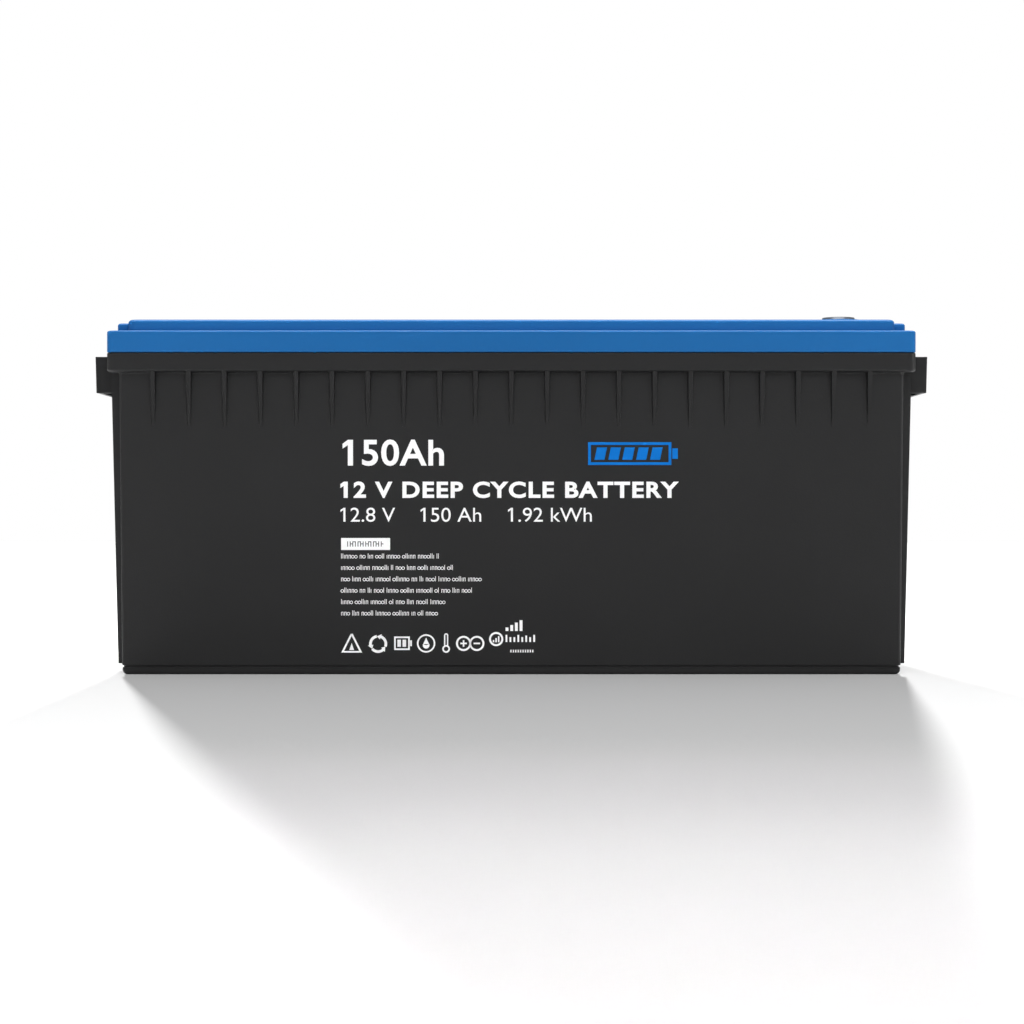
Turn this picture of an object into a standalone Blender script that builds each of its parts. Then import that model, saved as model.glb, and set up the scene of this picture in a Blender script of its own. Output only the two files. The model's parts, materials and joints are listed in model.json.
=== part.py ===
"""Twelve-volt deep cycle battery in a 522 x 240 mm moulded case, with its cells and electronics inside.

Metres, +Z up. The long axis of the case lies along X, the printed front faces -Y, the case stands on z = 0.
"""
import math

import bmesh
import bpy
from mathutils import Matrix, Vector

MM = 0.001
SHARP_ANGLE = math.radians(35.0)

# Case
WALL_TOP = (242.8, 115.0)
WALL_BOTTOM = (241.4, 113.0)
WALL_CORNER = 2.0
COLLAR = (250.0, 120.0)
COLLAR_CORNER = 5.0
COLLAR_BASE = 187.3
COLLAR_TOP = 199.0
CAVITY_TOP = (239.4, 111.5)
CAVITY_BOTTOM = (238.0, 109.8)
CAVITY_FLOOR = 4.0
FOOT = (241.2, 112.6)
FOOT_TOP = 4.6
FRONT_RIBS = 21
FRONT_RIB_PITCH = 22.15
FRONT_RIB_FOOT = 151.0
RIB_TOP = (2.3, 1.45)
RIB_BOTTOM = (1.5, 0.85)
END_RIB_FULL = 101.5
SHORT_RIBS = 8
SHORT_RIB_PITCH = 22.0
SHORT_RIB_TOP = 140.0
GRIP_REACH = 261.0
GRIP_ROOT = 241.2
GRIP_HALF_WIDTH = 95.0
POCKET = (243.4, 257.8)
GRIP_Z = (175.4, 198.0)

# Lid
LID_BASE = 199.3
BAND_TOP = 212.7
PAD = (245.7, 104.0)
PAD_TOP = 218.4
PAD_CORNER = 2.5
DECK = (237.8, 114.0)
DECK_TOP = 220.0
DECK_CORNER = 5.0
LID_SKIN = 3.0
LIP = (239.0, 111.0)
LIP_INSIDE = (236.5, 108.5)
DECK_INSIDE = (233.8, 108.5)
LIP_BASE = 194.6
SCREW_X = (-228.0, -76.0, 76.0, 228.0)
SCREW_Y = 102.5
SCREW_SEAT = 213.5

# Terminals
TERMINAL_X = 207.0
TERMINAL_Y = 82.0
TERMINAL_TOP = 223.5
TERMINAL_RADIUS = 10.2
SHANK_RADIUS = 7.0
RING_RADIUS = 16.8
RING_TOP = 221.6

# Cell stack
CELL = (54.0, 174.0, 170.0)
CELL_PITCH = 55.4
STACK_X = -60.0
CELL_BASE = 8.4
POST_Y = 61.0
BUSBAR_Z = 181.7
BUSBAR_THICK = 2.0
PLATE_SIDE = 86.0
PLATE_Z = (12.0, 172.0)
STRAP_Z = (30.0, 142.0)
BMS_SCREWS = ((-50.0, 48.0), (50.0, 48.0), (-50.0, 118.0), (50.0, 118.0))

# Packing
PACKING_REACH = 237.2
PACKING_SIDE = 95.0
FOAM_TOP = (170.0, 150.3)

# Relief valve
VALVE_X = -170.0

SHADES = {
    "case": (0.026, 0.026, 0.027), "blue": (0.012, 0.13, 0.38), "rubber": (0.02, 0.02, 0.02),
    "steel": (0.6, 0.6, 0.62), "alloy": (0.75, 0.76, 0.78), "copper": (0.72, 0.32, 0.18),
    "cell": (0.03, 0.12, 0.42), "board": (0.01, 0.16, 0.07), "foam": (0.05, 0.05, 0.055),
    "red": (0.5, 0.02, 0.02), "black": (0.015, 0.015, 0.015), "card": (0.55, 0.5, 0.4),
    "white": (0.7, 0.7, 0.68),
}


def collection(name):
    group = bpy.data.collections.new(name)
    bpy.context.scene.collection.children.link(group)
    return group


for leftover in list(bpy.data.objects):
    bpy.data.objects.remove(leftover, do_unlink=True)

PART = collection("deep_cycle_battery")
CUTTERS = collection("cutters")


def add(name, bm, shade):
    """Make a visible piece from a bmesh in millimetres and give it its own material."""
    for vertex in bm.verts:
        vertex.co *= MM
    mesh = bpy.data.meshes.new(name)
    bm.to_mesh(mesh)
    bm.free()
    mesh.shade_smooth()
    mesh.set_sharp_from_angle(angle=SHARP_ANGLE)
    piece = bpy.data.objects.new(name, mesh)
    PART.objects.link(piece)
    material = bpy.data.materials.new(name)
    material.use_nodes = True
    shader = material.node_tree.nodes["Principled BSDF"]
    shader.inputs["Base Color"].default_value = (*SHADES[shade], 1.0)
    shader.inputs["Roughness"].default_value = 0.5
    shader.inputs["Metallic"].default_value = 1.0 if shade in ("steel", "alloy", "copper") else 0.0
    mesh.materials.append(material)
    return piece


def change(piece, operation, bm, name):
    """Join or cut a piece with the solids in a bmesh in millimetres."""
    for vertex in bm.verts:
        vertex.co *= MM
    mesh = bpy.data.meshes.new(name)
    bm.to_mesh(mesh)
    bm.free()
    tool = bpy.data.objects.new(name, mesh)
    CUTTERS.objects.link(tool)
    tool.hide_render = True
    tool.display_type = "WIRE"
    boolean = piece.modifiers.new(name, "BOOLEAN")
    boolean.operation = operation
    boolean.solver = "EXACT"
    boolean.object = tool


def solid_box(bm, x0, x1, y0, y1, z0, z1):
    centre = Vector(((x0 + x1) / 2, (y0 + y1) / 2, (z0 + z1) / 2))
    scale = Matrix.Diagonal((abs(x1 - x0), abs(y1 - y0), abs(z1 - z0), 1.0))
    bmesh.ops.create_cube(bm, size=1.0, matrix=Matrix.Translation(centre) @ scale)


def solid_rod(bm, radius, start, end, sides=20):
    """A straight round bar between two points."""
    start, end = Vector(start), Vector(end)
    turn = (end - start).to_track_quat("Z", "Y").to_matrix().to_4x4()
    place = Matrix.Translation((start + end) / 2) @ turn
    bmesh.ops.create_cone(bm, cap_ends=True, segments=sides, radius1=radius, radius2=radius,
                          depth=(end - start).length, matrix=place)


def boxes(*limits):
    bm = bmesh.new()
    for limit in limits:
        solid_box(bm, *limit)
    return bm


def rods(*bars, sides=24):
    bm = bmesh.new()
    for radius, start, end in bars:
        solid_rod(bm, radius, start, end, sides)
    return bm


def outline(half_x, half_y, radius, z, steps=3):
    """Corner-rounded rectangle at height z, counter-clockwise from above."""
    points = []
    for quarter, (sx, sy) in enumerate(((1, 1), (-1, 1), (-1, -1), (1, -1))):
        for step in range(steps + 1):
            angle = math.pi / 2 * (quarter + step / steps)
            x = sx * (half_x - radius) + radius * math.cos(angle)
            y = sy * (half_y - radius) + radius * math.sin(angle)
            points.append(Vector((x, y, z)))
    return points


def bridge(bm, lower, upper):
    count = len(lower)
    for i in range(count):
        j = (i + 1) % count
        bm.faces.new((lower[i], lower[j], upper[j], upper[i]))


def loft(sections, steps=3):
    """A solid through stacked rounded rectangles given as (z, half x, half y, corner radius)."""
    bm = bmesh.new()
    rings = []
    for z, half_x, half_y, radius in sections:
        rings.append([bm.verts.new(p) for p in outline(half_x, half_y, radius, z, steps)])
    for lower, upper in zip(rings, rings[1:]):
        bridge(bm, lower, upper)
    bm.faces.new(list(reversed(rings[0])))
    bm.faces.new(rings[-1])
    return bm


def frame_ring(outer, inner, z0, z1, steps=3):
    """A rectangular loop of rectangular section; outer and inner are (half x, half y, corner radius)."""
    bm = bmesh.new()
    loops = []
    for (half_x, half_y, radius), z in ((outer, z0), (outer, z1), (inner, z1), (inner, z0)):
        loops.append([bm.verts.new(p) for p in outline(half_x, half_y, radius, z, steps)])
    for k in range(4):
        bridge(bm, loops[k], loops[(k + 1) % 4])
    return bm


def solid_hull(bm, base, top):
    """A six-sided solid between two four-cornered faces, both counter-clockwise from above."""
    lower = [bm.verts.new(p) for p in base]
    upper = [bm.verts.new(p) for p in top]
    bridge(bm, lower, upper)
    bm.faces.new(list(reversed(lower)))
    bm.faces.new(upper)


def rectangle(x0, x1, y0, y1, z):
    return [(x0, y0, z), (x1, y0, z), (x1, y1, z), (x0, y1, z)]


def turned(name, profile, centre, steps, shade, closed=False):
    """Spin a profile of (radius, z) round a vertical axis; its outer side runs downwards."""
    bm = bmesh.new()
    line = [bm.verts.new((radius, 0.0, z - centre[2])) for radius, z in profile]
    for first, second in zip(line, line[1:]):
        bm.edges.new((first, second))
    if closed:
        bm.edges.new((line[-1], line[0]))
    piece = add(name, bm, shade)
    piece.location = Vector(centre) * MM
    spin = piece.modifiers.new("spin", "SCREW")
    spin.steps = steps
    spin.render_steps = steps
    spin.use_merge_vertices = True
    spin.merge_threshold = 0.00001
    return piece


def tube(points, radius, roundness=2):
    """A round lead along points, as a mesh with closed ends that can be joined to others."""
    route = bpy.data.curves.new("route", "CURVE")
    route.dimensions = "3D"
    route.bevel_depth = radius
    route.bevel_resolution = roundness
    route.use_fill_caps = True
    line = route.splines.new("POLY")
    line.points.add(len(points) - 1)
    for knot, point in zip(line.points, points):
        knot.co = (*point, 1.0)
    guide = bpy.data.objects.new("route", route)
    CUTTERS.objects.link(guide)
    mesh = bpy.data.meshes.new_from_object(guide.evaluated_get(bpy.context.evaluated_depsgraph_get()))
    bpy.data.objects.remove(guide, do_unlink=True)
    bm = bmesh.new()
    bm.from_mesh(mesh)
    bpy.data.meshes.remove(mesh)
    bmesh.ops.remove_doubles(bm, verts=bm.verts, dist=0.001)
    return bm


def smooth(points, steps=3):
    """A flowing line through guide points (Catmull-Rom)."""
    points = [Vector(p) for p in points]
    guide = [points[0] * 2 - points[1]] + points + [points[-1] * 2 - points[-2]]
    line = []
    for a, b, c, d in zip(guide, guide[1:], guide[2:], guide[3:]):
        for step in range(steps):
            t = step / steps
            cubic = (b * 3 - a - c * 3 + d) * t ** 3
            square = (a * 2 - b * 5 + c * 4 - d) * t ** 2
            line.append((b * 2 + (c - a) * t + square + cubic) / 2)
    line.append(points[-1])
    return line


# ---------------------------------------------------------------- case
def foot_and_wall():
    """Levels of the outside of the case, from the rounded foot up to the collar."""
    levels = []
    for z, inset in ((0.0, 3.0), (0.4, 2.0), (1.2, 1.0), (2.4, 0.3), (3.6, 0.0), (FOOT_TOP, 0.0)):
        levels.append((z, FOOT[0] - inset, FOOT[1] - inset, WALL_CORNER))
    for z in (FOOT_TOP + 0.1, FOOT_TOP + 0.9):
        levels.append((z, FOOT[0] - 0.6, FOOT[1] - 0.6, WALL_CORNER))
    levels.append((FOOT_TOP + 1.0, *WALL_BOTTOM, WALL_CORNER))
    levels.append((COLLAR_BASE, *WALL_TOP, WALL_CORNER))
    for rise, inset in ((0.05, 1.6), (0.5, 0.5), (1.6, 0.0)):
        levels.append((COLLAR_BASE + rise, COLLAR[0] - inset, COLLAR[1] - inset, COLLAR_CORNER))
    levels.append((COLLAR_TOP - 0.5, *COLLAR, COLLAR_CORNER))
    levels.append((COLLAR_TOP, COLLAR[0] - 0.5, COLLAR[1] - 0.5, COLLAR_CORNER))
    return levels


def rib_section(along, side, inner, outer, half_widths, z, turned_to_end=False):
    """Tapered section of a rib, counter-clockwise from above: wide at the wall, narrow at its face."""
    wide, narrow = half_widths
    corners = [(-narrow, -outer), (narrow, -outer), (wide, -inner), (-wide, -inner)]
    if side > 0:
        corners = [(-a, -b) for a, b in corners]
    if turned_to_end:
        return [(-b, along + a, z) for a, b in corners]
    return [(along + a, b, z) for a, b in corners]


def front_and_back_ribs():
    bm = bmesh.new()
    for i in range(FRONT_RIBS):
        x = (i - (FRONT_RIBS - 1) / 2) * FRONT_RIB_PITCH
        for side in (-1, 1):
            base = rib_section(x, side, 112.9, 114.4, RIB_BOTTOM, FRONT_RIB_FOOT)
            top = rib_section(x, side, 112.9, COLLAR[1] - 0.7, RIB_TOP, COLLAR_BASE + 1.0)
            solid_hull(bm, base, top)
    return bm


def end_ribs():
    """Full-height ribs beside the grips and shorter ones in the space below them."""
    bm = bmesh.new()
    ribs = [(y, COLLAR_BASE + 1.0, COLLAR[0] - 0.4) for y in (-END_RIB_FULL, END_RIB_FULL)]
    ribs += [((i - 3.5) * SHORT_RIB_PITCH, SHORT_RIB_TOP, COLLAR[0] - 1.6) for i in range(SHORT_RIBS)]
    inner = WALL_BOTTOM[0] - 0.8
    for y, top, reach in ribs:
        for side in (-1, 1):
            solid_hull(bm, rib_section(y, side, inner, COLLAR[0] - 4.7, RIB_BOTTOM, FOOT_TOP + 1.6, True),
                       rib_section(y, side, inner, reach, RIB_TOP, top, True))
    return bm


def grips():
    bm = bmesh.new()
    low, high = GRIP_Z
    wide = GRIP_HALF_WIDTH
    for sign in (-1, 1):
        base = sorted((sign * GRIP_ROOT, sign * (GRIP_REACH - 0.7)))
        top = sorted((sign * GRIP_ROOT, sign * (GRIP_REACH - 0.1)))
        edge = sorted((sign * GRIP_ROOT, sign * (GRIP_REACH - 0.8)))
        solid_hull(bm, rectangle(*base, -wide, wide, low), rectangle(*top, -wide, wide, high - 0.9))
        solid_hull(bm, rectangle(*top, -wide, wide, high - 0.9),
                   rectangle(*edge, -wide + 0.7, wide - 0.7, high))
    bmesh.ops.remove_doubles(bm, verts=bm.verts, dist=0.001)
    inner = [f for f in bm.faces if abs(f.calc_center_median().z - (high - 0.9)) < 0.01]
    bmesh.ops.delete(bm, geom=inner, context="FACES_ONLY")
    return bm


def screw_bosses():
    bm = bmesh.new()
    for x in SCREW_X:
        for y in (-SCREW_Y, SCREW_Y):
            solid_rod(bm, 4.5, (x, y, CAVITY_FLOOR - 1.0), (x, y, COLLAR_TOP - 0.4), 12)
    return bm


case = add("case", loft(foot_and_wall()), "case")
change(case, "UNION", front_and_back_ribs(), "front_and_back_ribs")
change(case, "UNION", end_ribs(), "end_ribs")
change(case, "UNION", grips(), "grips")
change(case, "DIFFERENCE", boxes((POCKET[0], POCKET[1], -91.5, 91.5, 170.0, 194.5),
                                 (-POCKET[1], -POCKET[0], -91.5, 91.5, 170.0, 194.5)), "finger_pockets")
inside = loft([(CAVITY_FLOOR, *CAVITY_BOTTOM, 2.0), (COLLAR_TOP + 2.0, *CAVITY_TOP, 2.0)], 2)
change(case, "DIFFERENCE", inside, "inside")
change(case, "UNION", screw_bosses(), "screw_bosses")
webs = [(x - 1.2, x + 1.2, side * 104.0, side * 112.4, FOOT_TOP + 4.0, LIP_BASE - 0.5)
        for x in SCREW_X for side in (-1, 1)]
change(case, "UNION", boxes(*webs), "boss_webs")
pilots = [(2.2, (x, side * SCREW_Y, 176.0), (x, side * SCREW_Y, 205.0)) for x in SCREW_X for side in (-1, 1)]
change(case, "DIFFERENCE", rods(*pilots, sides=8), "screw_pilots")
change(case, "DIFFERENCE", frame_ring((247.2, 117.2, 5.0), (244.8, 114.8, 3.0), COLLAR_TOP - 1.6,
                                      COLLAR_TOP + 1.0), "gasket_groove")
add("lid_gasket", frame_ring((247.0, 117.0, 4.9), (245.0, 115.0, 3.1), COLLAR_TOP - 1.5,
                             LID_BASE - 0.1), "rubber")

# ---------------------------------------------------------------- lid
lid = add("lid", loft([
    (LID_BASE, COLLAR[0] - 0.3, COLLAR[1] - 0.3, COLLAR_CORNER),
    (LID_BASE + 0.3, *COLLAR, COLLAR_CORNER),
    (BAND_TOP - 0.9, *COLLAR, COLLAR_CORNER),
    (BAND_TOP - 0.25, COLLAR[0] - 0.3, COLLAR[1] - 0.3, COLLAR_CORNER),
    (BAND_TOP, COLLAR[0] - 0.9, COLLAR[1] - 0.9, COLLAR_CORNER)]), "blue")
change(lid, "UNION", loft([
    (BAND_TOP - 1.0, *PAD, PAD_CORNER), (PAD_TOP - 1.3, *PAD, PAD_CORNER),
    (PAD_TOP - 0.4, PAD[0] - 0.4, PAD[1] - 0.4, PAD_CORNER),
    (PAD_TOP, PAD[0] - 1.3, PAD[1] - 1.3, PAD_CORNER)]), "end_pads")
change(lid, "UNION", loft([
    (BAND_TOP - 1.2, *DECK, DECK_CORNER), (DECK_TOP - 1.6, *DECK, DECK_CORNER),
    (DECK_TOP - 0.5, DECK[0] - 0.5, DECK[1] - 0.5, DECK_CORNER),
    (DECK_TOP, DECK[0] - 1.6, DECK[1] - 1.6, DECK_CORNER)]), "deck")
change(lid, "DIFFERENCE", loft([
    (LID_BASE - 5.0, *LIP_INSIDE, 1.0), (BAND_TOP - LID_SKIN, *LIP_INSIDE, 1.0),
    (BAND_TOP - LID_SKIN + 0.1, *DECK_INSIDE, 1.0),
    (DECK_TOP - LID_SKIN, *DECK_INSIDE, 1.0)], 2), "lid_inside")
change(lid, "UNION", frame_ring((*LIP, 1.9), (*LIP_INSIDE, 1.0), LIP_BASE, LID_BASE + 1.0, 2), "spigot")
towers = [(6.0, (x, side * SCREW_Y, COLLAR_TOP - 0.1), (x, side * SCREW_Y, DECK_TOP - 1.0))
          for x in SCREW_X for side in (-1, 1)]
change(lid, "UNION", rods(*towers, sides=12), "screw_towers")
ENDS = [(TERMINAL_X, side * TERMINAL_Y) for side in (-1, 1)]
rings = [(RING_RADIUS, (*end, 214.0), (*end, RING_TOP)) for end in ENDS]
change(lid, "UNION", rods(*rings, sides=28), "terminal_rings")
seats = [(TERMINAL_RADIUS + 0.25, (*end, 219.0), (*end, 230.0)) for end in ENDS]
change(lid, "DIFFERENCE", rods(*seats, sides=24), "terminal_seats")
bores = [(SHANK_RADIUS + 0.25, (*end, 205.0), (*end, 225.0)) for end in ENDS]
bores.append((8.4, (VALVE_X, 0.0, 205.0), (VALVE_X, 0.0, 225.0)))
change(lid, "DIFFERENCE", rods(*bores, sides=20), "terminal_bores")
sinks = [(4.2, (x, side * SCREW_Y, SCREW_SEAT), (x, side * SCREW_Y, 225.0))
         for x in SCREW_X for side in (-1, 1)]
change(lid, "DIFFERENCE", rods(*sinks, sides=12), "screw_sinks")
shafts = [(2.3, (x, side * SCREW_Y, 190.0), (x, side * SCREW_Y, 225.0)) for x in SCREW_X for side in (-1, 1)]
change(lid, "DIFFERENCE", rods(*shafts, sides=8), "screw_shafts")

number = 0
for side in (-1, 1):
    for x in SCREW_X:
        number += 1
        head = SCREW_SEAT + 0.1
        screw = turned(f"lid_screw_{number}", [
            (0.0, head + 2.6), (3.2, head + 2.6), (3.8, head + 2.0), (3.8, head), (2.0, head), (2.0, 181.0),
            (0.0, 179.0)], (x, side * SCREW_Y, head), 12, "steel")
        socket = bmesh.new()
        solid_rod(socket, 1.7, (x, side * SCREW_Y, head + 1.0), (x, side * SCREW_Y, head + 5.0), 6)
        change(screw, "DIFFERENCE", socket, f"screw_socket_{number}")

# ---------------------------------------------------------------- terminals
TERMINALS = (("front", -TERMINAL_Y), ("rear", TERMINAL_Y))
for label, y in TERMINALS:
    turned(f"terminal_post_{label}", [
        (0.0, 209.0), (3.5, 210.5), (3.5, TERMINAL_TOP - 0.7), (4.2, TERMINAL_TOP), (9.7, TERMINAL_TOP),
        (TERMINAL_RADIUS, TERMINAL_TOP - 0.5), (TERMINAL_RADIUS, 219.3), (SHANK_RADIUS, 219.3),
        (SHANK_RADIUS, 197.0), (6.2, 196.0), (0.0, 196.0)], (TERMINAL_X, y, 210.0), 24, "alloy")
    groove = frame_ring((9.8, 9.8, 9.79), (8.0, 8.0, 7.99), 217.9, 220.0, 6)
    bmesh.ops.translate(groove, verts=groove.verts, vec=(TERMINAL_X, y, 0.0))
    change(lid, "DIFFERENCE", groove, f"seal_groove_{label}")
    corners = [a * math.pi / 3 for a in range(6)]
    ring = [(8.9 + 0.6 * math.cos(a), 218.6 - 0.6 * math.sin(a)) for a in corners]
    turned(f"terminal_seal_{label}", ring, (TERMINAL_X, y, 218.6), 20, "rubber", closed=True)
    nut = bmesh.new()
    solid_rod(nut, 12.1, (TERMINAL_X, y, 205.0), (TERMINAL_X, y, 211.0), 6)
    piece = add(f"terminal_nut_{label}", nut, "steel")
    change(piece, "DIFFERENCE", rods((SHANK_RADIUS + 0.2, (TERMINAL_X, y, 200.0), (TERMINAL_X, y, 215.0)),
                                     sides=24), f"terminal_nut_bore_{label}")

# ---------------------------------------------------------------- cells
CELL_X = [STACK_X + (i - 1.5) * CELL_PITCH for i in range(4)]
CELL_TOP = CELL_BASE + CELL[2]
NUT_BASE = BUSBAR_Z + BUSBAR_THICK + 0.3
number = 0
for i, x in enumerate(CELL_X):
    body = loft([(CELL_BASE, CELL[0] / 2, CELL[1] / 2, 2.0), (CELL_TOP, CELL[0] / 2, CELL[1] / 2, 2.0)], 2)
    bmesh.ops.translate(body, verts=body.verts, vec=(x, 0.0, 0.0))
    cell = add(f"cell_{i + 1}", body, "cell")
    change(cell, "UNION", rods((9.0, (x, -POST_Y, CELL_TOP - 1.0), (x, -POST_Y, CELL_TOP + 3.0)),
                               (9.0, (x, POST_Y, CELL_TOP - 1.0), (x, POST_Y, CELL_TOP + 3.0)), sides=12),
           f"cell_pads_{i + 1}")
    change(cell, "UNION", rods((3.0, (x, -POST_Y, CELL_TOP - 2.0), (x, -POST_Y, CELL_TOP + 12.6)),
                               (3.0, (x, POST_Y, CELL_TOP - 2.0), (x, POST_Y, CELL_TOP + 12.6)), sides=8),
           f"cell_studs_{i + 1}")
    change(cell, "DIFFERENCE", rods((9.0, (x, 0.0, CELL_TOP - 0.8), (x, 0.0, CELL_TOP + 2.0)), sides=12),
           f"cell_vent_{i + 1}")
    for y in (-POST_Y, POST_Y):
        number += 1
        nut = rods((5.8, (x, y, NUT_BASE), (x, y, NUT_BASE + 5.0)), sides=6)
        piece = add(f"cell_nut_{number}", nut, "steel")
        bore = rods((3.2, (x, y, 180.0), (x, y, 195.0)), sides=12)
        change(piece, "DIFFERENCE", bore, f"cell_nut_bore_{number}")
for i in range(3):
    x = (CELL_X[i] + CELL_X[i + 1]) / 2
    sheet = boxes((x - 0.5, x + 0.5, -PLATE_SIDE, PLATE_SIDE, CELL_BASE + 0.6, CELL_TOP - 1.4))
    add(f"separator_{i + 1}", sheet, "card")
    y = POST_Y if i % 2 == 0 else -POST_Y
    bar = add(f"busbar_{i + 1}", boxes((CELL_X[i] - 9.0, CELL_X[i + 1] + 9.0, y - 9.0, y + 9.0,
                                        BUSBAR_Z, BUSBAR_Z + BUSBAR_THICK)), "copper")
    change(bar, "DIFFERENCE", rods((3.3, (CELL_X[i], y, 175.0), (CELL_X[i], y, 190.0)),
                                   (3.3, (CELL_X[i + 1], y, 175.0), (CELL_X[i + 1], y, 190.0)), sides=12),
           f"busbar_holes_{i + 1}")

STACK_LEFT = CELL_X[0] - CELL[0] / 2
STACK_RIGHT = CELL_X[3] + CELL[0] / 2
add("end_plate_left", boxes((STACK_LEFT - 6.3, STACK_LEFT - 0.3, -PLATE_SIDE, PLATE_SIDE, *PLATE_Z)), "alloy")
plate = add("end_plate_right", boxes((STACK_RIGHT + 0.3, STACK_RIGHT + 6.3, -PLATE_SIDE, PLATE_SIDE,
                                      *PLATE_Z)), "alloy")
stands = [(4.0, (STACK_RIGHT + 5.0, y, z), (STACK_RIGHT + 12.4, y, z)) for y, z in BMS_SCREWS]
change(plate, "UNION", rods(*stands, sides=8), "bms_standoffs")
holes = [(2.2, (STACK_RIGHT + 2.0, y, z), (STACK_RIGHT + 20.0, y, z)) for y, z in BMS_SCREWS]
change(plate, "DIFFERENCE", rods(*holes, sides=12), "standoff_bores")
for i, z in enumerate(STRAP_Z):
    half = (STACK_RIGHT - STACK_LEFT) / 2 + 6.6
    band = frame_ring((half + 1.0, 88.3, 2.5), (half, 87.3, 1.5), z - 6.0, z + 6.0, 2)
    bmesh.ops.translate(band, verts=band.verts, vec=((STACK_LEFT + STACK_RIGHT) / 2, 0.0, 0.0))
    add(f"strap_{i + 1}", band, "steel")

# ---------------------------------------------------------------- battery management electronics
BOARD_X = STACK_RIGHT + 12.7
board = add("bms_board", boxes((BOARD_X, BOARD_X + 1.6, -62.0, 62.0, 38.0, 150.0)), "board")
change(board, "UNION", boxes(
    (BOARD_X + 1.0, BOARD_X + 8.0, -9.0, 9.0, 134.0, 146.0),
    (BOARD_X + 1.0, BOARD_X + 6.0, 44.0, 56.0, 134.0, 142.0),
    (BOARD_X + 1.0, BOARD_X + 3.0, -56.0, -42.0, 130.0, 144.0),
    (BOARD_X + 1.0, BOARD_X + 4.0, -22.0, -14.0, 128.0, 136.0),
    (BOARD_X + 1.0, BOARD_X + 4.0, 14.0, 22.0, 128.0, 136.0)), "bms_parts")
drilled = [(2.3, (BOARD_X - 5.0, y, z), (BOARD_X + 20.0, y, z)) for y, z in BMS_SCREWS]
change(board, "DIFFERENCE", rods(*drilled, sides=12), "board_holes")
mosfets = add("bms_mosfets", boxes((BOARD_X + 4.0, BOARD_X + 6.6, -50.0, 50.0, 62.0, 100.0)), "black")
cases = [(BOARD_X + 1.9, BOARD_X + 4.6, y - 4.5, y + 4.5, 66.0, 82.0) for y in range(-42, 43, 12)]
change(mosfets, "UNION", boxes(*cases), "mosfet_bodies")
SINK_X = BOARD_X + 7.0
sink = add("bms_heatsink", boxes((SINK_X, SINK_X + 3.0, -56.0, 56.0, 42.0, 124.0)), "alloy")
fins = [(SINK_X + 2.0, SINK_X + 15.0, y - 0.9, y + 0.9, 42.6, 123.4) for y in range(-40, 41, 10)]
change(sink, "UNION", boxes(*fins), "heatsink_fins")
drilled = [(2.3, (SINK_X - 5.0, y, z), (SINK_X + 20.0, y, z)) for y, z in BMS_SCREWS]
change(sink, "DIFFERENCE", rods(*drilled, sides=12), "heatsink_holes")
for i, (y, z) in enumerate(BMS_SCREWS):
    head = rods((3.6, (SINK_X + 3.2, y, z), (SINK_X + 5.6, y, z)), sides=12)
    screw = add(f"bms_screw_{i + 1}", head, "steel")
    change(screw, "UNION", rods((2.0, (STACK_RIGHT + 3.0, y, z), (SINK_X + 4.0, y, z)), sides=12),
           f"bms_screw_shank_{i + 1}")

# ---------------------------------------------------------------- leads
LEAD = 4.5
LUG_Z = 211.4
SOLDER_X = BOARD_X + 1.9 + LEAD


def lug(piece, centre, direction, reach, radius, bore, z0, name):
    """A flat eyelet on the end of a lead: round pad, tongue and hole."""
    x, y = centre
    change(piece, "UNION", rods((radius, (x, y, z0), (x, y, z0 + 2.0)), sides=14), f"{name}_pad")
    limits = sorted((x, x + direction * reach))
    change(piece, "UNION", boxes((*limits, y - 5.6, y + 5.6, z0 + 0.01, z0 + 1.99)), f"{name}_tongue")
    change(piece, "DIFFERENCE", rods((bore, (x, y, z0 - 5.0), (x, y, z0 + 5.0)), sides=14), f"{name}_hole")


plus = add("cable_positive", tube(smooth([
    (CELL_X[3] + 12.0, -POST_Y, 186.0), (CELL_X[3] + 24.0, -POST_Y, 187.0), (75.0, -66.0, 198.0),
    (140.0, -77.0, 205.0), (176.0, -TERMINAL_Y, 209.6), (187.0, -TERMINAL_Y, 210.4)]), LEAD), "red")
lug(plus, (CELL_X[3], -POST_Y), 1, 19.0, 9.0, 3.3, BUSBAR_Z, "plus_cell_lug")
lug(plus, (TERMINAL_X, -TERMINAL_Y), -1, 26.0, 11.0, SHANK_RADIUS + 0.35, LUG_Z, "plus_post_lug")

minus = add("cable_cell_negative", tube(smooth([
    (CELL_X[0] + 12.0, -POST_Y, 186.0), (CELL_X[0] + 24.0, -58.0, 189.0), (-95.0, -40.0, 201.5),
    (-40.0, -30.0, 202.0), (40.0, -30.0, 201.0), (60.0, -30.0, 196.0), (SOLDER_X, -30.0, 180.0),
    (SOLDER_X, -30.0, 150.0), (SOLDER_X, -30.0, 128.0)]), LEAD), "black")
lug(minus, (CELL_X[0], -POST_Y), 1, 19.0, 9.0, 3.3, BUSBAR_Z, "minus_cell_lug")

output = add("cable_output_negative", tube(smooth([
    (SOLDER_X, 30.0, 128.0), (SOLDER_X, 30.0, 150.0), (SOLDER_X, 30.0, 180.0), (82.0, 36.0, 200.0),
    (130.0, 62.0, 206.0), (174.0, TERMINAL_Y, 209.6), (187.0, TERMINAL_Y, 210.4)]), LEAD), "black")
lug(output, (TERMINAL_X, TERMINAL_Y), -1, 26.0, 11.0, SHANK_RADIUS + 0.35, LUG_Z, "output_post_lug")

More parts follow.
